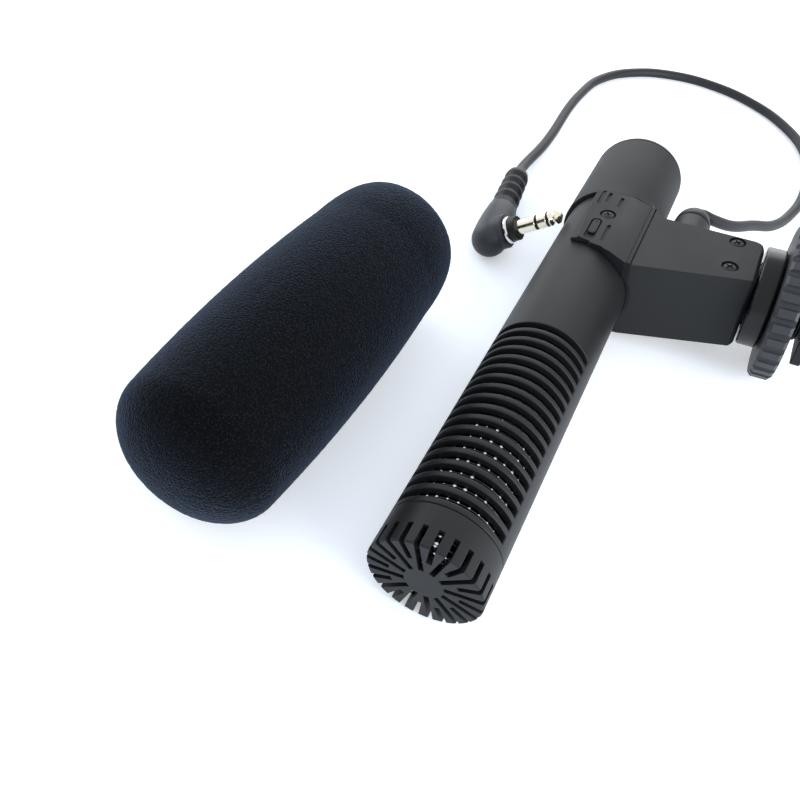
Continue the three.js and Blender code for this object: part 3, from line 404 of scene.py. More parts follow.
# A profile of radii and places spun once round the Y axis
def spun(profile, steps, closed=False):
    bm = bmesh.new()
    points = [bm.verts.new((radius, along, 0)) for radius, along in profile]
    for first, second in zip(points, points[1:]):
        bm.edges.new((first, second))
    if closed:
        bm.edges.new((points[-1], points[0]))
    bmesh.ops.spin(
        bm, geom=bm.verts[:] + bm.edges[:], cent=(0, 0, 0), axis=(0, 1, 0),
        angle=math.radians(360.0), steps=steps, use_merge=True,
    )
    bmesh.ops.remove_doubles(bm, verts=bm.verts, dist=weldReach)
    bmesh.ops.dissolve_degenerate(bm, edges=bm.edges, dist=sliverReach)
    bmesh.ops.recalc_face_normals(bm, faces=bm.faces)
    return bm


def rod(radius, start, end, steps):
    return spun([(0, start), (radius, start), (radius, end), (0, end)], steps)


def arc(centre, radius, start, end, steps):
    angles = [math.radians(start + (end - start) * step / steps) for step in range(steps + 1)]
    return [(centre[0] + radius * math.cos(a), centre[1] + radius * math.sin(a)) for a in angles]


# An outline drawn out: a plan "up", a section "along" the barrel, or a side view to the "side"
def drawn(outline, low, high, direction="up"):
    bm = bmesh.new()
    axis = {"side": 0, "along": 1, "up": 2}[direction]
    corners = [bm.verts.new((*point[:axis], low, *point[axis:])) for point in outline]
    shift = [0, 0, 0]
    shift[axis] = high - low
    made = bmesh.ops.extrude_face_region(bm, geom=[bm.faces.new(corners)])
    moved = [item for item in made["geom"] if isinstance(item, bmesh.types.BMVert)]
    bmesh.ops.translate(bm, vec=shift, verts=moved)
    bmesh.ops.recalc_face_normals(bm, faces=bm.faces)
    return bm


def block(size, centre):
    bm = bmesh.new()
    bmesh.ops.create_cube(bm, size=1.0)
    bmesh.ops.scale(bm, vec=size, verts=bm.verts)
    bmesh.ops.translate(bm, vec=centre, verts=bm.verts)
    return bm


def rounded(bm, width):
    edges = [
        edge for edge in bm.edges
        if len(edge.link_faces) == 2 and edge.calc_face_angle(0.0) > math.radians(30.0)
    ]
    bmesh.ops.bevel(
        bm, geom=edges, offset=width, affect="EDGES", segments=3,
        profile=0.5, material=-1, clamp_overlap=True,
    )


def turned(bm, angle, axis):
    bmesh.ops.rotate(bm, cent=(0, 0, 0), matrix=Matrix.Rotation(angle, 3, axis), verts=bm.verts)


def objectOf(bm, name):
    mesh = bpy.data.meshes.new(name)
    bm.to_mesh(mesh)
    bm.free()
    return linked(name, mesh)


# A modifier that is applied at once
def modified(made, kind, **settings):
    step = made.modifiers.new(kind.lower(), kind)
    for name, value in settings.items():
        setattr(step, name, value)
    graph = bpy.context.evaluated_depsgraph_get()
    mesh = bpy.data.meshes.new_from_object(made.evaluated_get(graph))
    old = made.data
    made.modifiers.clear()
    made.data = mesh
    bpy.data.meshes.remove(old)


def combined(made, tool, operation):
    cutter = objectOf(tool, "cutter") if isinstance(tool, bmesh.types.BMesh) else tool
    modified(made, "BOOLEAN", operation=operation, object=cutter, solver="EXACT")
    bpy.data.objects.remove(cutter)
    return made


def cut(made, tool):
    combined(made, tool, "DIFFERENCE")


def joined(shapes):
    whole = bmesh.new()
    for shape in shapes:
        mesh = bpy.data.meshes.new("part")
        shape.to_mesh(mesh)
        shape.free()
        whole.from_mesh(mesh)
        bpy.data.meshes.remove(mesh)
    return whole


def softEdges(made, width, segments=2, angle=35.0):
    limit = math.radians(angle)
    modified(made, "BEVEL", width=width, segments=segments, limit_method="ANGLE", angle_limit=limit)


# Weighted normals keep flat faces flat where they meet narrow rounded edges
def finished(made, place, body, material, replaced, sharp=38.0):
    made.data.transform(place)
    made.data.shade_smooth()
    made.data.set_sharp_from_angle(angle=math.radians(sharp))
    if sharp < allSmooth:
        modified(made, "WEIGHTED_NORMAL", keep_sharp=True)
    made.data.materials.clear()
    made.data.materials.append(material)
    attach(made, body)
    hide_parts(*replaced)
    print("made", made.name, len(made.data.polygons))
    return made


# Cord: one curve from the gland, over beside the arm and down, round behind the barrel to the plug
gland = {
    "across": 17.4, "up": 4.3, "radius": 4.1, "length": 10.9, "face": armFar, "bore": 1.65, "mouth": 2.05,
    "flare": 0.15, "flareHeight": 1.2, "ringSetback": 5.0, "ringDepth": 0.5, "ringWidth": 0.6, "soft": 0.1,
    "domeInset": 0.15, "domeSteps": 10,
}
cord = {
    "radius": 1.35, "lift": 0.2, "across": 26.4, "run": 54.8, "straight": 14.0, "rise": 6.0, "approach": 24.0,
    "shares": (
        (0.035, 0.04, 0.985), (0.15, 0.085, 0.885), (0.33, 0.185, 0.69), (0.544, 0.367, 0.458),
        (0.764, 0.562, 0.2), (0.923, 0.8, 0.032), (1.0, 1.0, 0.0),
    ),
    "loopSteps": 8, "curveSteps": 10, "roundSteps": 6, "lengthSteps": 64,
}


def cordRoute():
    c = cord
    level = c["radius"] + c["lift"]
    toTable = tablePlace.inverted()
    mouth = Vector((gland["across"], gland["face"] + gland["length"] + gap, gland["up"]))
    start = toTable @ (micPlace @ mouth)
    plugEnd = plug["barrel"] + plug["reliefLength"] + gap
    entry = toTable @ (plugPlace @ Vector((0, plugEnd, 0)))
    beforeEntry = toTable @ (plugPlace @ Vector((0, plugEnd + c["rise"], 0)))
    beforeEntry.z = (level + entry.z) / 2
    points = [start]
    for across, along, up in c["shares"]:
        place = (start.x + across * c["across"], start.y + along * c["run"], level + up * (start.z - level))
        points.append(Vector(place))
    right = start.x + c["across"]
    loopRadius = (right - entry.x) / 2
    for step in range(c["loopSteps"] + 1):
        angle = math.pi * step / c["loopSteps"]
        across = right - loopRadius + loopRadius * math.cos(angle)
        along = start.y + c["run"] + c["straight"] + loopRadius * math.sin(angle)
        points.append(Vector((across, along, level)))
    points.append(Vector((entry.x, entry.y + c["approach"], level)))
    points += [beforeEntry, entry]
    return [tablePlace @ point for point in points]


def makeCord(pieces):
    route = cordRoute()
    data = bpy.data.curves.new("cord", "CURVE")
    data.dimensions = "3D"
    data.resolution_u = cord["curveSteps"]
    data.bevel_depth = cord["radius"] * mm
    data.bevel_resolution = cord["roundSteps"]
    data.use_fill_caps = True
    spline = data.splines.new("BEZIER")
    spline.bezier_points.add(len(route) - 1)
    for point, place in zip(spline.bezier_points, route):
        point.co = place
        point.handle_left_type = "AUTO"
        point.handle_right_type = "AUTO"
    made = linked("cord", data)
    data.materials.append(cordFinish)
    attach(made, "microphone")
    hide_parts("cord_free")


# Nose cap: a cup whose face and side are cut by long and short slots in turn
noseCap = {
    "length": 7.8, "bore": 8.6, "face": 1.4, "edge": 0.3, "steps": 96, "seat": 9.45, "seatFrom": 5.2,
    "slots": 24, "slotWidth": 0.95, "slotTip": 3.7, "longFrom": 3.4, "shortFrom": 6.0, "turn": -22.5,
    "lead": 0.4, "sideRow": 5.8, "soft": 0.07,
}


def makeNoseCap():
    n = noseCap
    profile = [
        (0, 0), (n["longFrom"] - n["lead"], 0), (n["shortFrom"] - n["lead"], 0),
        (barrelRadius - n["edge"], 0), (barrelRadius, n["edge"]),
        (barrelRadius, n["slotTip"] + gap), (barrelRadius, n["sideRow"]), (barrelRadius, n["length"]),
        (n["seat"], n["length"]), (n["seat"], n["seatFrom"]), (n["bore"], n["seatFrom"]),
        (n["bore"], n["face"]), (0, n["face"]),
    ]
    made = objectOf(spun(profile, n["steps"]), "noseCap")
    outside = barrelRadius + overrun
    inside, floor = n["bore"] - gap, n["face"] + gap
    tools = []
    for index in range(n["slots"]):
        start = n["longFrom"] if index % 2 == 0 else n["shortFrom"]
        outline = [(start, -overrun), (outside, -overrun), (outside, n["slotTip"]), (inside, n["slotTip"])]
        outline += [(inside, floor), (start, floor)]
        tool = drawn(outline, -n["slotWidth"] / 2, n["slotWidth"] / 2)
        turned(tool, -math.radians(n["turn"] + 360 * index / n["slots"]), "Y")
        tools.append(tool)
    cut(made, joined(tools))
    softEdges(made, n["soft"], angle=40.0)
    finished(made, micPlace, "microphone", shellFinish, ["nose_cap"])


# Barrel: rows of faces are left out of its crown for the slots, then it gets its wall
barrel = {
    "front": 8.0, "wall": 1.4, "steps": 120, "halfSpan": 66.0, "slots": 17, "pitch": 2.75,
    "firstSlot": 10.0, "slotWidth": 1.65, "plainRows": (70.0, 82.0, 94.0, 106.0, 118.0), "soft": 0.2,
}


def makeBarrel():
    b = barrel
    rows = [b["front"]]
    slots = []
    for index in range(b["slots"]):
        middle = b["firstSlot"] + index * b["pitch"]
        slots.append((middle - b["slotWidth"] / 2, middle + b["slotWidth"] / 2))
        rows += slots[-1]
    rows += [*b["plainRows"], tubeEnd]
    bm = spun([(barrelRadius, row) for row in rows], b["steps"])
    opened = []
    for face in bm.faces:
        middle = face.calc_center_median()
        angle = math.degrees(math.atan2(middle.x, middle.z))
        if abs(angle) < b["halfSpan"] and any(low < middle.y < high for low, high in slots):
            opened.append(face)
    bmesh.ops.delete(bm, geom=opened, context="FACES")
    bmesh.ops.recalc_face_normals(bm, faces=bm.faces)
    made = objectOf(bm, "barrel")
    modified(made, "SOLIDIFY", thickness=b["wall"], offset=-1.0)
    softEdges(made, b["soft"], segments=3, angle=40.0)
    finished(made, micPlace, "microphone", shellFinish, ["barrel_tube"])


# Housing: a shell round the rear of the barrel joined to a saddle and the arm
housing = {
    "opening": 3.2, "setback": 3.1, "flatFrom": -2.4, "left": -4.4, "runout": 6.0, "margin": 0.2, "lead": 1,
    "inBore": ((-3, 2), (0, -5)), "sectionFrom": 75, "sectionTo": 115, "reach": 16, "farReach": 60,
    "boreEnd": 140, "rows": 12, "steps": 120, "edge": 0.45, "soft": 0.07,
    "plateGap": 0.05, "plateFloor": 6.0, "runoutFrom": -14, "runoutTo": 12,
    "ridge": 0.5, "groove": 0.3, "grooveLength": 30, "grooveHeight": 1.2, "grooveRise": 0.1,
    "flankFront": saddleFront + 23.2, "flankBlocks": (((12, 40, 28), 0), ((22, 40, 12), -12)),
}
arm = {
    "near": saddleFront + 5.8, "root": 9.7, "rootHeight": 9.2, "rootStep": 0.8, "endHeight": 8.7,
    "bevel": 0.7, "corner": 2.6, "nearCorner": 1.0, "screwAcross": armEnd - 5.7, "screwSpread": 9.4,
}
armScrewPlaces = [foot["along"] + side * arm["screwSpread"] / 2 for side in (-1, 1)]

# A flat under the round parts, parallel to the table
under = {"level": 0.05 - barrelRadius, "width": 44, "depth": 10, "along": 110, "length": 80, "capLength": 20}


def armTop(across):
    share = (across - arm["root"]) / (armEnd - arm["root"])
    return arm["rootHeight"] + (arm["endHeight"] - arm["rootHeight"]) * share


# What lies before the housing's slanted front edge, as a plan drawn up
def beforeFront():
    h = housing
    corner = saddleFront + h["setback"]
    outline = [(-h["reach"], cutFront), (-h["reach"], corner), (h["left"], corner)]
    outline += [(plateRight, saddleFront), (h["farReach"], saddleFront), (h["farReach"], cutFront)]
    return drawn(outline, -h["reach"], h["reach"])


def underBlock(width, length, along, top):
    tool = block((width, length, under["depth"]), (0, along, top - under["depth"] / 2))
    turned(tool, armTilt, "Y")
    return tool


# Solid round body that becomes the shell once the bore is cut
def makeShell():
    h, u = housing, under
    start = saddleFront - h["lead"]
    rows = [start + (tubeEnd - start) * step / h["rows"] for step in range(h["rows"] + 1)]
    profile = [(0, start)] + [(shellRadius, row) for row in rows] + [(0, tubeEnd)]
    made = objectOf(spun(profile, h["steps"]), "shell")
    for (size, middle), right in zip(h["flankBlocks"], (h["left"], crownRight)):
        cut(made, block(size, (right - size[0] / 2, h["flankFront"] - size[1] / 2, middle)))
    cut(made, underBlock(u["width"], u["length"], u["along"], u["level"]))
    cut(made, underBlock(2 * h["opening"], u["length"], u["along"], u["depth"] / 2 - shellRadius))
    return made


# Section across the barrel and plan from above, crossed to make saddle and arm
def makeSaddle():
    h, a = housing, arm
    tip = armEnd - a["bevel"]
    section = [
        (armEnd, -a["endHeight"] + a["bevel"]), (armEnd, a["endHeight"] - a["bevel"]), (tip, armTop(tip)),
        (a["root"], a["rootHeight"]), (crownRight, crownTop), (h["flatFrom"], crownTop),
        (h["left"], math.sqrt(shellRadius ** 2 - h["left"] ** 2)), *h["inBore"],
        (crownRight, -a["rootHeight"]), (tip, -armTop(tip)),
    ]
    rear = plateRear + h["runout"]
    left = h["left"] - h["margin"]
    slope = (a["near"] - saddleFront) / (armEnd - a["root"])
    plan = [(left, saddleFront), (a["root"], saddleFront)]
    plan += [(armEnd - a["nearCorner"], a["near"] - slope * a["nearCorner"])]
    plan += arc((armEnd - a["nearCorner"], a["near"] + a["nearCorner"]), a["nearCorner"], -60, 0, 4)
    plan += arc((armEnd - a["corner"], armFar - a["corner"]), a["corner"], 0, 90, 8)
    plan += [(a["root"] + a["corner"], armFar), (a["root"] + a["rootStep"], armFar + a["rootStep"])]
    plan += [(a["root"], armFar + a["corner"]), (plateRight, plateRear), (plateRight, rear), (left, rear)]
    made = objectOf(drawn(section, h["sectionFrom"], h["sectionTo"], "along"), "saddle")
    combined(made, drawn(plan, -h["reach"], h["reach"]), "INTERSECT")
    softEdges(made, h["edge"], segments=4, angle=25.0)
    low, past = shellRadius / 2, rear + overrun
    runout = [(plateRear, crownTop), (rear, low), (past, low), (past, cutTop), (plateRear, cutTop)]
    cut(made, drawn(runout, h["runoutFrom"], h["runoutTo"], "side"))
    return made


def makeHousing():
    h, a = housing, arm
    made = combined(makeSaddle(), makeShell(), "UNION")
    cut(made, beforeFront())
    cut(made, rod(shellBore, cutFront, h["boreEnd"], h["steps"]))
    cut(made, drawn(plateOutline(h["plateGap"]), h["plateFloor"], cutTop))
    across = plateRight + gap + h["ridge"] + h["groove"] / 2
    groove = (h["groove"], h["grooveLength"], h["grooveHeight"])
    cut(made, block(groove, (across, plateRear - h["grooveLength"] / 2, armTop(across) + h["grooveRise"])))
    for along in armScrewPlaces:
        cut(made, screwRecess(a["screwAcross"], along, armTop(a["screwAcross"])))
    softEdges(made, h["soft"], angle=45.0)
    finished(made, micPlace, "microphone", armFinish, ["housing"], sharp=30.0)


# Screws with a cross cut into the head, each in a round recess
screw = {
    "head": 1.45, "height": 0.5, "recess": 1.75, "draft": 0.05, "depth": 0.6, "lift": 0.1,
    "shank": 0.75, "shankLength": 2.0, "domeAngles": (15, 35, 55, 75), "domePower": 0.7,
    "slit": 0.4, "slitShare": 1.2, "slitHeight": 1.0, "floorShare": 0.2, "steps": 40, "soft": 0.04,
}


def screwRecess(across, along, top):
    s = screw
    profile = [(0, -s["depth"]), (s["recess"], -s["depth"])]
    profile += [(s["recess"] + s["draft"], overrun), (0, overrun)]
    bm = spun(profile, s["steps"])
    turned(bm, math.radians(90), "X")
    bmesh.ops.translate(bm, vec=(across, along, top), verts=bm.verts)
    return bm


def makeScrew(name, node, across, along, top, turn):
    s = screw
    profile = [(0, -s["shankLength"]), (s["shank"], -s["shankLength"]), (s["shank"], 0), (s["head"], 0)]
    for angle in s["domeAngles"]:
        slope = math.radians(angle)
        rise = s["height"] * math.sin(slope) ** s["domePower"]
        profile.append((s["head"] * math.cos(slope), rise))
    profile.append((0, s["height"]))
    made = objectOf(spun(profile, s["steps"]), name)
    reach = s["head"] * s["slitShare"]
    middle = s["height"] * s["floorShare"] + s["slitHeight"] / 2
    for wide, deep in ((reach, s["slit"]), (s["slit"], reach)):
        cut(made, block((wide, s["slitHeight"], deep), (0, middle, 0)))
    softEdges(made, s["soft"])
    seat = Matrix.Translation((across, along, top - s["depth"] + s["lift"]))
    upright = Matrix.Rotation(math.radians(90), 4, "X") @ Matrix.Rotation(math.radians(turn), 4, "Y")
    finished(made, micPlace @ seat @ upright, "microphone", screwFinish, [node])


# Switch plate: flat over the crown, falling towards the arm, with a stepped front edge
plate = {
    "left": -4.2, "floor": 4.0, "boreEnd": 116, "steps": 96, "edge": 0.08, "soft": 0.06,
    "frontLeft": -3.0, "frontRight": -0.5, "frontSetback": 2.8,
    "front": ((-0.6, 2.4), (0.2, 1.6), (2.5, 1.25), (3.2, 0.7), (6.8, -0.2)),
    "slotAcross": -0.85, "slotFrom": saddleFront + 2.8, "slotWidth": 2.3, "slotLength": 8.3,
    "slotFloor": 10.4, "screwAcross": 0.6, "screwAlong": saddleFront + 13.6,
    "markWidth": 0.8, "markDepth": 0.35,
    "marks": ((2.05, 3.3, 6.4), (-2.6, 17.0, 6.4), (-1.0, 18.4, 4.0), (1.9, 17.4, 4.0)),
}


# A slot's outline: straight sides between half circles
def pill(width, length, x, y, steps=10):
    reach = length / 2 - width / 2
    return arc((x, y + reach), width / 2, 0, 180, steps) + arc((x, y - reach), width / 2, 180, 360, steps)


def plateOutline(clearance):
    p = plate
    left, right, rear = p["left"] - clearance, plateRight + clearance, plateRear + clearance
    outline = [(p["frontLeft"] - clearance, saddleFront + p["frontSetback"])]
    outline += [(across, saddleFront + back) for across, back in p["front"]]
    outline += [(right, saddleFront + p["frontRight"]), (right, rear), (left, rear)]
    return outline


def makePlate():
    p = plate
    bm = drawn(plateOutline(0.0), p["floor"], crownTop)
    slope = (crownTop - arm["rootHeight"]) / (arm["root"] - crownRight)
    bmesh.ops.bisect_plane(
        bm, geom=bm.verts[:] + bm.edges[:] + bm.faces[:], plane_co=(crownRight, 0, 0), plane_no=(1, 0, 0),
    )
    for vert in bm.verts:
        if vert.co.z > crownTop / 2 and vert.co.x > crownRight:
            vert.co.z = crownTop - slope * (vert.co.x - crownRight)
    rounded(bm, p["edge"])
    made = objectOf(bm, "switchPlate")
    cut(made, rod(shellBore, cutFront, p["boreEnd"], p["steps"]))
    middle = p["slotFrom"] + p["slotLength"] / 2
    cut(made, drawn(pill(p["slotWidth"], p["slotLength"], p["slotAcross"], middle), p["slotFloor"], cutTop))
    for across, setback, length in p["marks"]:
        outline = pill(p["markWidth"], length, across, saddleFront + setback + length / 2, 6)
        cut(made, drawn(outline, crownTop - p["markDepth"], cutTop))
    cut(made, screwRecess(p["screwAcross"], p["screwAlong"], crownTop))
    softEdges(made, p["soft"], angle=50.0)
    finished(made, micPlace, "microphone", armFinish, ["switch_plate"])


# Knob of the slide switch, with a dimple near its rear end and a stem that reaches into the housing
knob = {
    "width": 1.7, "length": 5.4, "along": saddleFront + 8.1, "seat": 10.45, "top": 10.95, "edge": 0.2,
    "dimple": (0.5, 0.55), "dimpleInset": 0.9, "dimpleDepth": 0.12, "stem": (1.2, 1.6, 2.6), "stemUp": 9.2,
}


def makeKnob():
    k = knob
    across, along = plate["slotAcross"], k["along"]
    bm = drawn(pill(k["width"], k["length"], across, along, 12), k["seat"], k["top"])
    rounded(bm, k["edge"])
    made = objectOf(bm, "switchKnob")
    dimple = pill(*k["dimple"], across, along + k["length"] / 2 - k["dimpleInset"])
    cut(made, drawn(dimple, k["top"] - k["dimpleDepth"], k["top"] + overrun))
    combined(made, block(k["stem"], (across, along, k["stemUp"])), "UNION")
    finished(made, micPlace, "switch_knob", armFinish, ["switch_knob"])


# Damper, knurled wheel, washer, stud and shoe plate are spun about Y and turned to the arm's axis
footPlace = micPlace @ Matrix.Translation((0, foot["along"], 0)) @ Matrix.Rotation(math.radians(-90), 4, "Z")


def makeDamper():
    f = foot
    start, end, radius = f["damperStart"], f["damperStart"] + f["damperLength"], f["damperRadius"]
    edge = f["edge"]
    profile = [(f["bore"], start)] + arc((radius - edge, start + edge), edge, -90, 0, 4)
    profile += arc((radius - edge, end - edge), edge, 0, 90, 4) + [(f["bore"], end)]
    made = objectOf(spun(profile, steps=96, closed=True), "neckDamper")
    finished(made, footPlace, "microphone", dampFinish, ["neck_damper"])


def makeWheel():
    f = foot
    start, end, radius = f["wheelStart"], f["wheelStart"] + f["wheel"], f["wheelRadius"]
    recessFloor = end - f["recessDepth"]
    profile = [
        (f["bore"], start), (radius - f["edge"], start), (radius, start + f["edge"]),
        (radius, end - f["edge"]), (radius - f["edge"], end), (f["recess"], end),
        (f["recess"], recessFloor), (f["bore"], recessFloor),
    ]
    made = objectOf(spun(profile, steps=128, closed=True), "lockWheel")
    tools = []
    for index in range(f["ribs"]):
        tool = rod(f["ribDepth"], start - overrun, end + overrun, 12)
        bmesh.ops.translate(tool, vec=(radius, 0, 0), verts=tool.verts)
        turned(tool, 2 * math.pi * index / f["ribs"], "Y")
        tools.append(tool)
    cut(made, joined(tools))
    softEdges(made, width=0.12, angle=30.0)
    finished(made, footPlace, "lock_wheel", wheelFinish, ["lock_wheel"])


def makeWasher():
    f = foot
    end = f["wheelStart"] + f["wheel"]
    start = end - f["washerThick"]
    profile = [(f["bore"], start), (f["washer"], start), (f["washer"], end), (f["bore"], end)]
    made = objectOf(spun(profile, steps=72, closed=True), "clampWasher")
    softEdges(made, width=0.1)
    finished(made, footPlace, "clamp_washer", screwFinish, ["clamp_washer"])


def makeFoot():
    f = foot
    plateAt = f["wheelStart"] + f["wheel"] + f["gap"]
    inPlate = plateAt + f["plateThick"] / 2
    start, sunk = f["damperStart"], armEnd - f["buried"]
    profile = [(0, sunk), (f["buriedRadius"], sunk), (f["buriedRadius"], start)]
    turns = int((plateAt - start) / f["pitch"])
    root, crest = f["stud"] - f["thread"], f["stud"] - f["crest"]
    for turn in range(turns):
        at = start + turn * f["pitch"]
        profile += [(root, at), (crest, at + f["crestFrom"]), (crest, at + f["crestTo"])]
    profile += [(root, start + turns * f["pitch"]), (root, inPlate), (0, inPlate)]
    made = objectOf(spun(profile, steps=96), "shoeFoot")
    width, depth = f["flatBlock"]
    for side in (-1, 1):
        middle = (0, (plateAt + start) / 2, side * (f["flat"] + depth / 2))
        cut(made, block((width, plateAt - start, depth), middle))
    half = f["plate"] / 2 - f["plateCorner"]
    outline = []
    for turn, right, up in ((0, 1, 1), (90, -1, 1), (180, -1, -1), (270, 1, -1)):
        outline += arc((right * half, up * half), f["plateCorner"], turn, turn + 90, 6)
    slab = drawn(outline, plateAt, plateAt + f["plateThick"], "along")
    rounded(slab, f["plateEdge"])
    combined(made, slab, "UNION")
    finished(made, footPlace, "microphone", blackFinish, ["shoe_foot"])


# Gland: domed, with a ring groove
def makeGland():
    g = gland
    start, end, radius, soft = g["face"] + gap, g["face"] + g["length"], g["radius"], g["soft"]
    ring = end - g["ringSetback"]
    bottom = radius - g["ringDepth"]
    dome = ring + g["ringWidth"] + soft
    profile = [(g["bore"], start), (radius + g["flare"], start), (radius, start + g["flareHeight"])]
    profile += [(radius, ring - soft), (radius - soft, ring), (bottom, ring + soft)]
    profile += [(bottom, ring + g["ringWidth"]), (radius - g["domeInset"], dome)]
    for step in range(1, g["domeSteps"] + 1):
        angle = math.pi / 2 * step / g["domeSteps"]
        spread = (radius - soft - g["mouth"]) * math.cos(angle)
        profile.append((g["mouth"] + spread, dome + (end - dome) * math.sin(angle)))
    profile += [(g["bore"], end)]
    made = objectOf(spun(profile, steps=64, closed=True), "cordGland")
    softEdges(made, width=0.06, angle=50.0)
    place = micPlace @ Matrix.Translation((g["across"], 0, g["up"]))
    finished(made, place, "microphone", cordFinish, ["cord_gland"])


# Rear cap: rounded end that plugs the barrel
rearCap = {"plug": 8.3, "plugLength": 6, "edge": 0.08, "turn": 2.4, "bore": 5.25, "floor": 1.6, "steps": 120}


def makeRearCap():
    r = rearCap
    turn = r["turn"]
    plugEnd = capSeat - r["plugLength"]
    profile = [(0, plugEnd), (r["plug"], plugEnd), (r["plug"], capSeat)]
    profile += [(shellRadius - r["edge"], capSeat), (shellRadius, capSeat + r["edge"])]
    profile += arc((shellRadius - turn, barrelLength - turn), turn, 0, 90, 10) + [(0, barrelLength)]
    made = objectOf(spun(profile, r["steps"]), "rearCap")
    cut(made, rod(r["bore"], plugEnd - overrun, barrelLength - r["floor"], 48))
    cut(made, underBlock(under["width"], under["capLength"], barrelLength, under["level"]))
    finished(made, micPlace, "rear_cap", armFinish, ["rear_cap"])


# Mesh behind the slots, with a map that counts its wires round and along
wires = {
    "radius": 8.3, "front": 1.7, "rear": 57.5, "thick": 0.4, "edge": 0.3, "steps": 96,
    "spacing": 1.85, "rows": 1.3875, "shift": 0.21, "flatAbove": 0.7,
}


def makeWires():
    w = wires
    radius, front, rear = w["radius"], w["front"], w["rear"]
    inner, floor = radius - w["thick"], front + w["thick"]
    profile = [
        (0, front), (radius - w["edge"], front), (radius, front + w["edge"]),
        (radius, rear), (inner, rear), (inner, floor), (0, floor),
    ]
    bm = spun(profile, w["steps"])
    layer = bm.loops.layers.uv.new("wires")
    around = round(2 * math.pi * radius / w["spacing"])
    for face in bm.faces:
        middle = face.calc_center_median()
        flat = abs(face.normal.y) > w["flatAbove"]
        home = math.atan2(middle.z, middle.x) / (2 * math.pi)
        for loop in face.loops:
            place = loop.vert.co
            if flat:
                loop[layer].uv = (place.x / w["spacing"], place.z / w["spacing"])
            else:
                angle = math.atan2(place.z, place.x) / (2 * math.pi)
                angle += round(home - angle)
                loop[layer].uv = (angle * around, place.y / w["rows"] - w["shift"])
    made = objectOf(bm, "soundMesh")
    finished(made, micPlace, "microphone", wireFinish(), ["sound_mesh"])


# Places along the plug's pin, which is spun about Y and turned to X
pinPlace = plugPlace @ Matrix.Rotation(math.radians(-90), 4, "Z")
plugFace = plug["radius"] + 0.1
collarAt = plugFace + gap
bossAt = collarAt + 1.1
bossEnd = bossAt + 1.6
sleeveEnd = collarAt + 7.2
ringEnd = sleeveEnd + 2.8
pinEnd = collarAt + plug["pinLength"]


def plugBody():
    p = plug
    radius = p["radius"]
    profile = arc((0, -p["tail"]), radius, -90, 0, 10)
    profile += [(radius * share, along) for share, along in p["waist"]]
    profile += [(p["reliefRadius"] + p["shoulder"], p["shoulderAt"])]
    profile += [(p["barrelRadius"], p["barrel"]), (0, p["barrel"])]
    body = objectOf(spun(profile, steps=64), "plugBody")
    wide, narrow = (radius * share for share in p["bossShares"])
    boss = spun([(0, 0), (wide, 0), (wide, plugFace - gap), (narrow, plugFace), (0, plugFace)], 64)
    turned(boss, math.radians(-90), "Z")
    combined(body, boss, "UNION")
    return finished(body, plugPlace, "microphone", plugFinish, ["plug_body"], sharp=50.0)


def plugRelief():
    p = plug
    start, end = p["barrel"] + p["reliefGap"], p["barrel"] + p["reliefLength"]
    pitch = (end - start) / (p["ribs"] + 1)
    ribRadius = p["reliefRadius"] + p["ribRise"]
    profile = [(0, start), (ribRadius, start)]
    for index in range(p["ribs"]):
        at = start + pitch * (index + 0.5)
        radius = ribRadius - p["ribTaper"] * index
        profile.append((radius, at - p["ribLead"]))
        profile += [(radius - depth, at + share * pitch) for depth, share in p["groove"]]
    profile += [(p["reliefRadius"] * share, end - setback) for share, setback in p["tip"]] + [(0, end)]
    relief = objectOf(spun(profile, steps=48), "plugRelief")
    return finished(relief, plugPlace, "microphone", cordFinish, ["plug_relief"], sharp=60.0)


# Jack: the core shows as thin dark rings between collar, sleeve, ring and tip
jack = {"core": 0.9, "bore": 1.0, "insulator": 0.6, "inset": 0.06, "slack": 0.02, "edge": 0.1, "steps": 48}


def makePin():
    core, bore, slack, edge = jack["core"], jack["bore"], jack["slack"], jack["edge"]
    radius = plug["pinRadius"]
    inset = radius - jack["inset"]
    ringAt, tipAt = sleeveEnd + jack["insulator"], ringEnd + jack["insulator"]
    shapes = {
        "plugCollar": ([
            (0, collarAt), (3.1, collarAt), (3.2, collarAt + 0.1),
            (3.2, collarAt + 0.6), (3.05, collarAt + 0.8), (0, collarAt + 0.8),
        ], "silver", silverFinish, "plug_collar"),
        "jackCore": ([
            (0, bossAt - 0.28), (2.8, bossAt - 0.28), (2.9, bossAt - 0.15), (2.9, bossEnd - 0.2),
            (2.7, bossEnd), (core, bossEnd), (core, sleeveEnd + slack), (inset, sleeveEnd + slack),
            (inset, ringAt - slack), (core, ringAt - slack), (core, ringEnd + slack),
            (inset, ringEnd + slack), (inset, tipAt - slack), (0, tipAt - slack),
        ], "black", blackFinish, "jack_core"),
        "jackSleeve": ([
            (bore, bossEnd + slack), (radius, bossEnd + slack),
            (radius, sleeveEnd - edge), (radius - edge, sleeveEnd), (bore, sleeveEnd),
        ], "gold", goldFinish, "jack_sleeve"),
        "jackRing": ([
            (bore, ringAt), (radius - edge, ringAt), (radius, ringAt + edge),
            (radius, ringEnd - edge), (radius - edge, ringEnd), (bore, ringEnd),
        ], "gold", goldFinish, "jack_ring"),
        "jackTip": ([
            (0, tipAt), (radius, tipAt), (radius, tipAt + 0.25), (radius * 0.7, tipAt + 0.9),
            (radius * 0.74, tipAt + 1.2), (radius * 0.98, tipAt + 1.7), (radius * 0.9, tipAt + 2.2),
            (radius * 0.5, pinEnd - 0.35), (radius * 0.25, pinEnd - 0.08), (0, pinEnd),
        ], "gold", goldFinish, "jack_tip"),
    }
    made = []
    for name, (profile, slot, material, node) in shapes.items():
        closed = profile[0][0] > 0
        piece = objectOf(spun(profile, jack["steps"], closed=closed), name)
        made.append(finished(piece, pinPlace, "microphone", material, [node]))
    return made


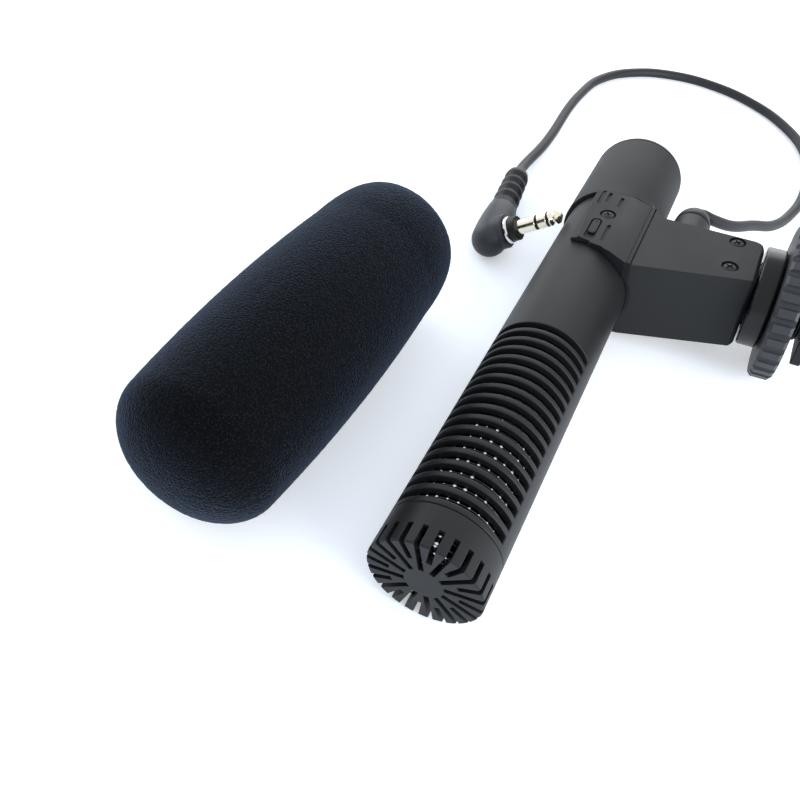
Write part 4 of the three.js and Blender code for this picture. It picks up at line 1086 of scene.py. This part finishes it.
# Windscreen: a turned foam body whose skin is broken up by its pores
foam = {
    "radius": 15.8, "middle": (-39.25, 36.4, 15.8), "heading": -2.28, "front": -8.6, "rear": 66.7,
    "noseLength": 9.4, "noseRoundness": 0.9, "rearLength": 13.7, "rimRadius": 11.6, "bulge": 1.05,
    "bore": 9.2, "boreEnd": 5.0, "boreEdge": 0.5, "boreRows": 9, "boreRowFrom": 2, "boreRowPitch": 7.0,
    "steps": 200, "endSteps": 24, "sideSteps": 80,
    "poreSize": 0.75, "poreDepth": 0.1, "poreLevel": 0.9,
}


def foamProfile():
    f = foam
    sideStart = f["front"] + f["noseLength"]
    sideEnd = f["rear"] - f["rearLength"]
    middle, half = (sideStart + sideEnd) / 2, (sideEnd - sideStart) / 2

    def side(along):
        return f["radius"] - f["bulge"] * ((along - middle) / half) ** 2

    profile = []
    for step in range(f["endSteps"]):
        angle = math.pi / 2 * step / f["endSteps"]
        radius = side(sideStart) * math.sin(angle) ** f["noseRoundness"]
        profile.append((radius, sideStart - f["noseLength"] * math.cos(angle)))
    for step in range(f["sideSteps"]):
        along = sideStart + (sideEnd - sideStart) * step / f["sideSteps"]
        profile.append((side(along), along))
    for step in range(f["endSteps"] + 1):
        angle = math.pi / 2 * step / f["endSteps"]
        radius = f["rimRadius"] + (side(sideEnd) - f["rimRadius"]) * math.cos(angle)
        profile.append((radius, sideEnd + f["rearLength"] * math.sin(angle)))
    profile += [(f["bore"] + f["boreEdge"], f["rear"]), (f["bore"], f["rear"] - f["boreEdge"])]
    for step in range(f["boreRows"]):
        profile.append((f["bore"], f["rear"] - f["boreRowFrom"] - f["boreRowPitch"] * step))
    profile += [(f["bore"], f["boreEnd"]), (0, f["boreEnd"])]
    return profile


def makeFoam():
    f = foam
    made = objectOf(spun(foamProfile(), f["steps"]), "windscreen")
    texture = bpy.data.textures.new("pores", "VORONOI")
    texture.noise_scale = f["poreSize"]
    texture.weight_1 = 1.0
    depth, level = f["poreDepth"], f["poreLevel"]
    modified(made, "DISPLACE", texture=texture, texture_coords="LOCAL", strength=depth, mid_level=level)
    turn = Matrix.Translation(f["middle"]) @ Matrix.Rotation(math.radians(f["heading"]), 4, "Z")
    place = tablePlace @ turn @ Matrix.Translation((0, -f["middle"][1], 0))
    finished(made, place, "windscreen", foamFinish(), ["windscreen"], allSmooth)


# Finishes of the nodes that keep their own shape
def dressNodes():
    finishes = {
        "capsule_holder": holderFinish, "capsule_left": silverFinish, "capsule_right": silverFinish,
        "preamp_board": boardFinish, "board_chip": blackFinish, "board_capacitor": silverFinish,
        "battery": cellFinish, "battery_cradle": blackFinish, "plate_contact": silverFinish,
        "spring_contact": silverFinish, "switch_body": blackFinish, "foot_block": blackFinish,
    }
    for name, material in finishes.items():
        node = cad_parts[name]
        node.data.materials.clear()
        node.data.materials.append(material)


def makeScrews():
    across, top = arm["screwAcross"], armTop(arm["screwAcross"])
    makeScrew("plateScrew", "plate_screw", plate["screwAcross"], plate["screwAlong"], crownTop, 20)
    makeScrew("armScrew1", "arm_screw_1", across, armScrewPlaces[0], top, -35)
    makeScrew("armScrew2", "arm_screw_2", across, armScrewPlaces[1], top, 35)


makeCord([plugBody(), plugRelief()] + makePin())
makeNoseCap()
makeBarrel()
makeHousing()
makePlate()
makeKnob()
makeScrews()
makeDamper()
makeWheel()
makeWasher()
makeFoot()
makeGland()
makeRearCap()
makeWires()
makeFoam()
dressNodes()
print("pieces made")


# White table under a pale sky, with lamps low on the left, behind and on the right
white = (1.0, 1.0, 1.0, 1.0)
stage = {
    "size": 3.0, "emission": 0.40, "sky": 0.95, "skyTint": (0.80, 0.96, 1.18, 1.0),
    "table": {
        "Base Color": (0.84, 0.84, 0.84, 1.0), "Roughness": 0.6, "Specular IOR Level": 0.2,
        "Emission Color": white,
    },
}
lamps = {
    "leftLamp": {"place": (-0.80, 0.35, 0.30), "target": (0, 0.04, 0), "size": 0.6, "power": 3.5},
    "rearLamp": {"place": (-0.06, 0.42, 0.16), "target": (0.0, 0.11, 0.01), "size": 0.3, "power": 0.55},
    "rightLamp": {"place": (0.45, -0.10, 0.20), "target": (0.05, 0.06, 0), "size": 0.4, "power": 2.4},
}


def makeStage():
    bm = bmesh.new()
    bmesh.ops.create_grid(bm, x_segments=1, y_segments=1, size=stage["size"])
    floor = objectOf(bm, "floor")
    finish = Finish("table", stage["table"])
    finish.set("Emission Strength", finish.backgroundRays() * stage["emission"])
    floor.data.materials.append(finish.material)


def makeLamp(name, place, target, size, power):
    data = bpy.data.lights.new(name, "AREA")
    data.size = size
    data.energy = power
    lamp = linked(name, data)
    lamp.location = place
    lamp.rotation_euler = (Vector(target) - Vector(place)).to_track_quat("-Z", "Y").to_euler()


def makeSky():
    world = bpy.data.worlds.new("surroundings")
    bpy.context.scene.world = world
    world.use_nodes = True
    sky = Nodes(world.node_tree)
    inputs = sky.tree.nodes["Background"].inputs
    seen = sky.backgroundRays()
    strength = sky.node("ShaderNodeMix", None, {0: seen, 2: stage["sky"], 3: 1.0})
    sky.feed(inputs["Strength"], strength)
    sky.feed(inputs["Color"], sky.blend(seen, stage["skyTint"], white))


makeStage()
for name, settings in lamps.items():
    makeLamp(name, **settings)
makeSky()
bpy.context.scene.view_settings.view_transform = "Standard"
print("stage and lamps set")
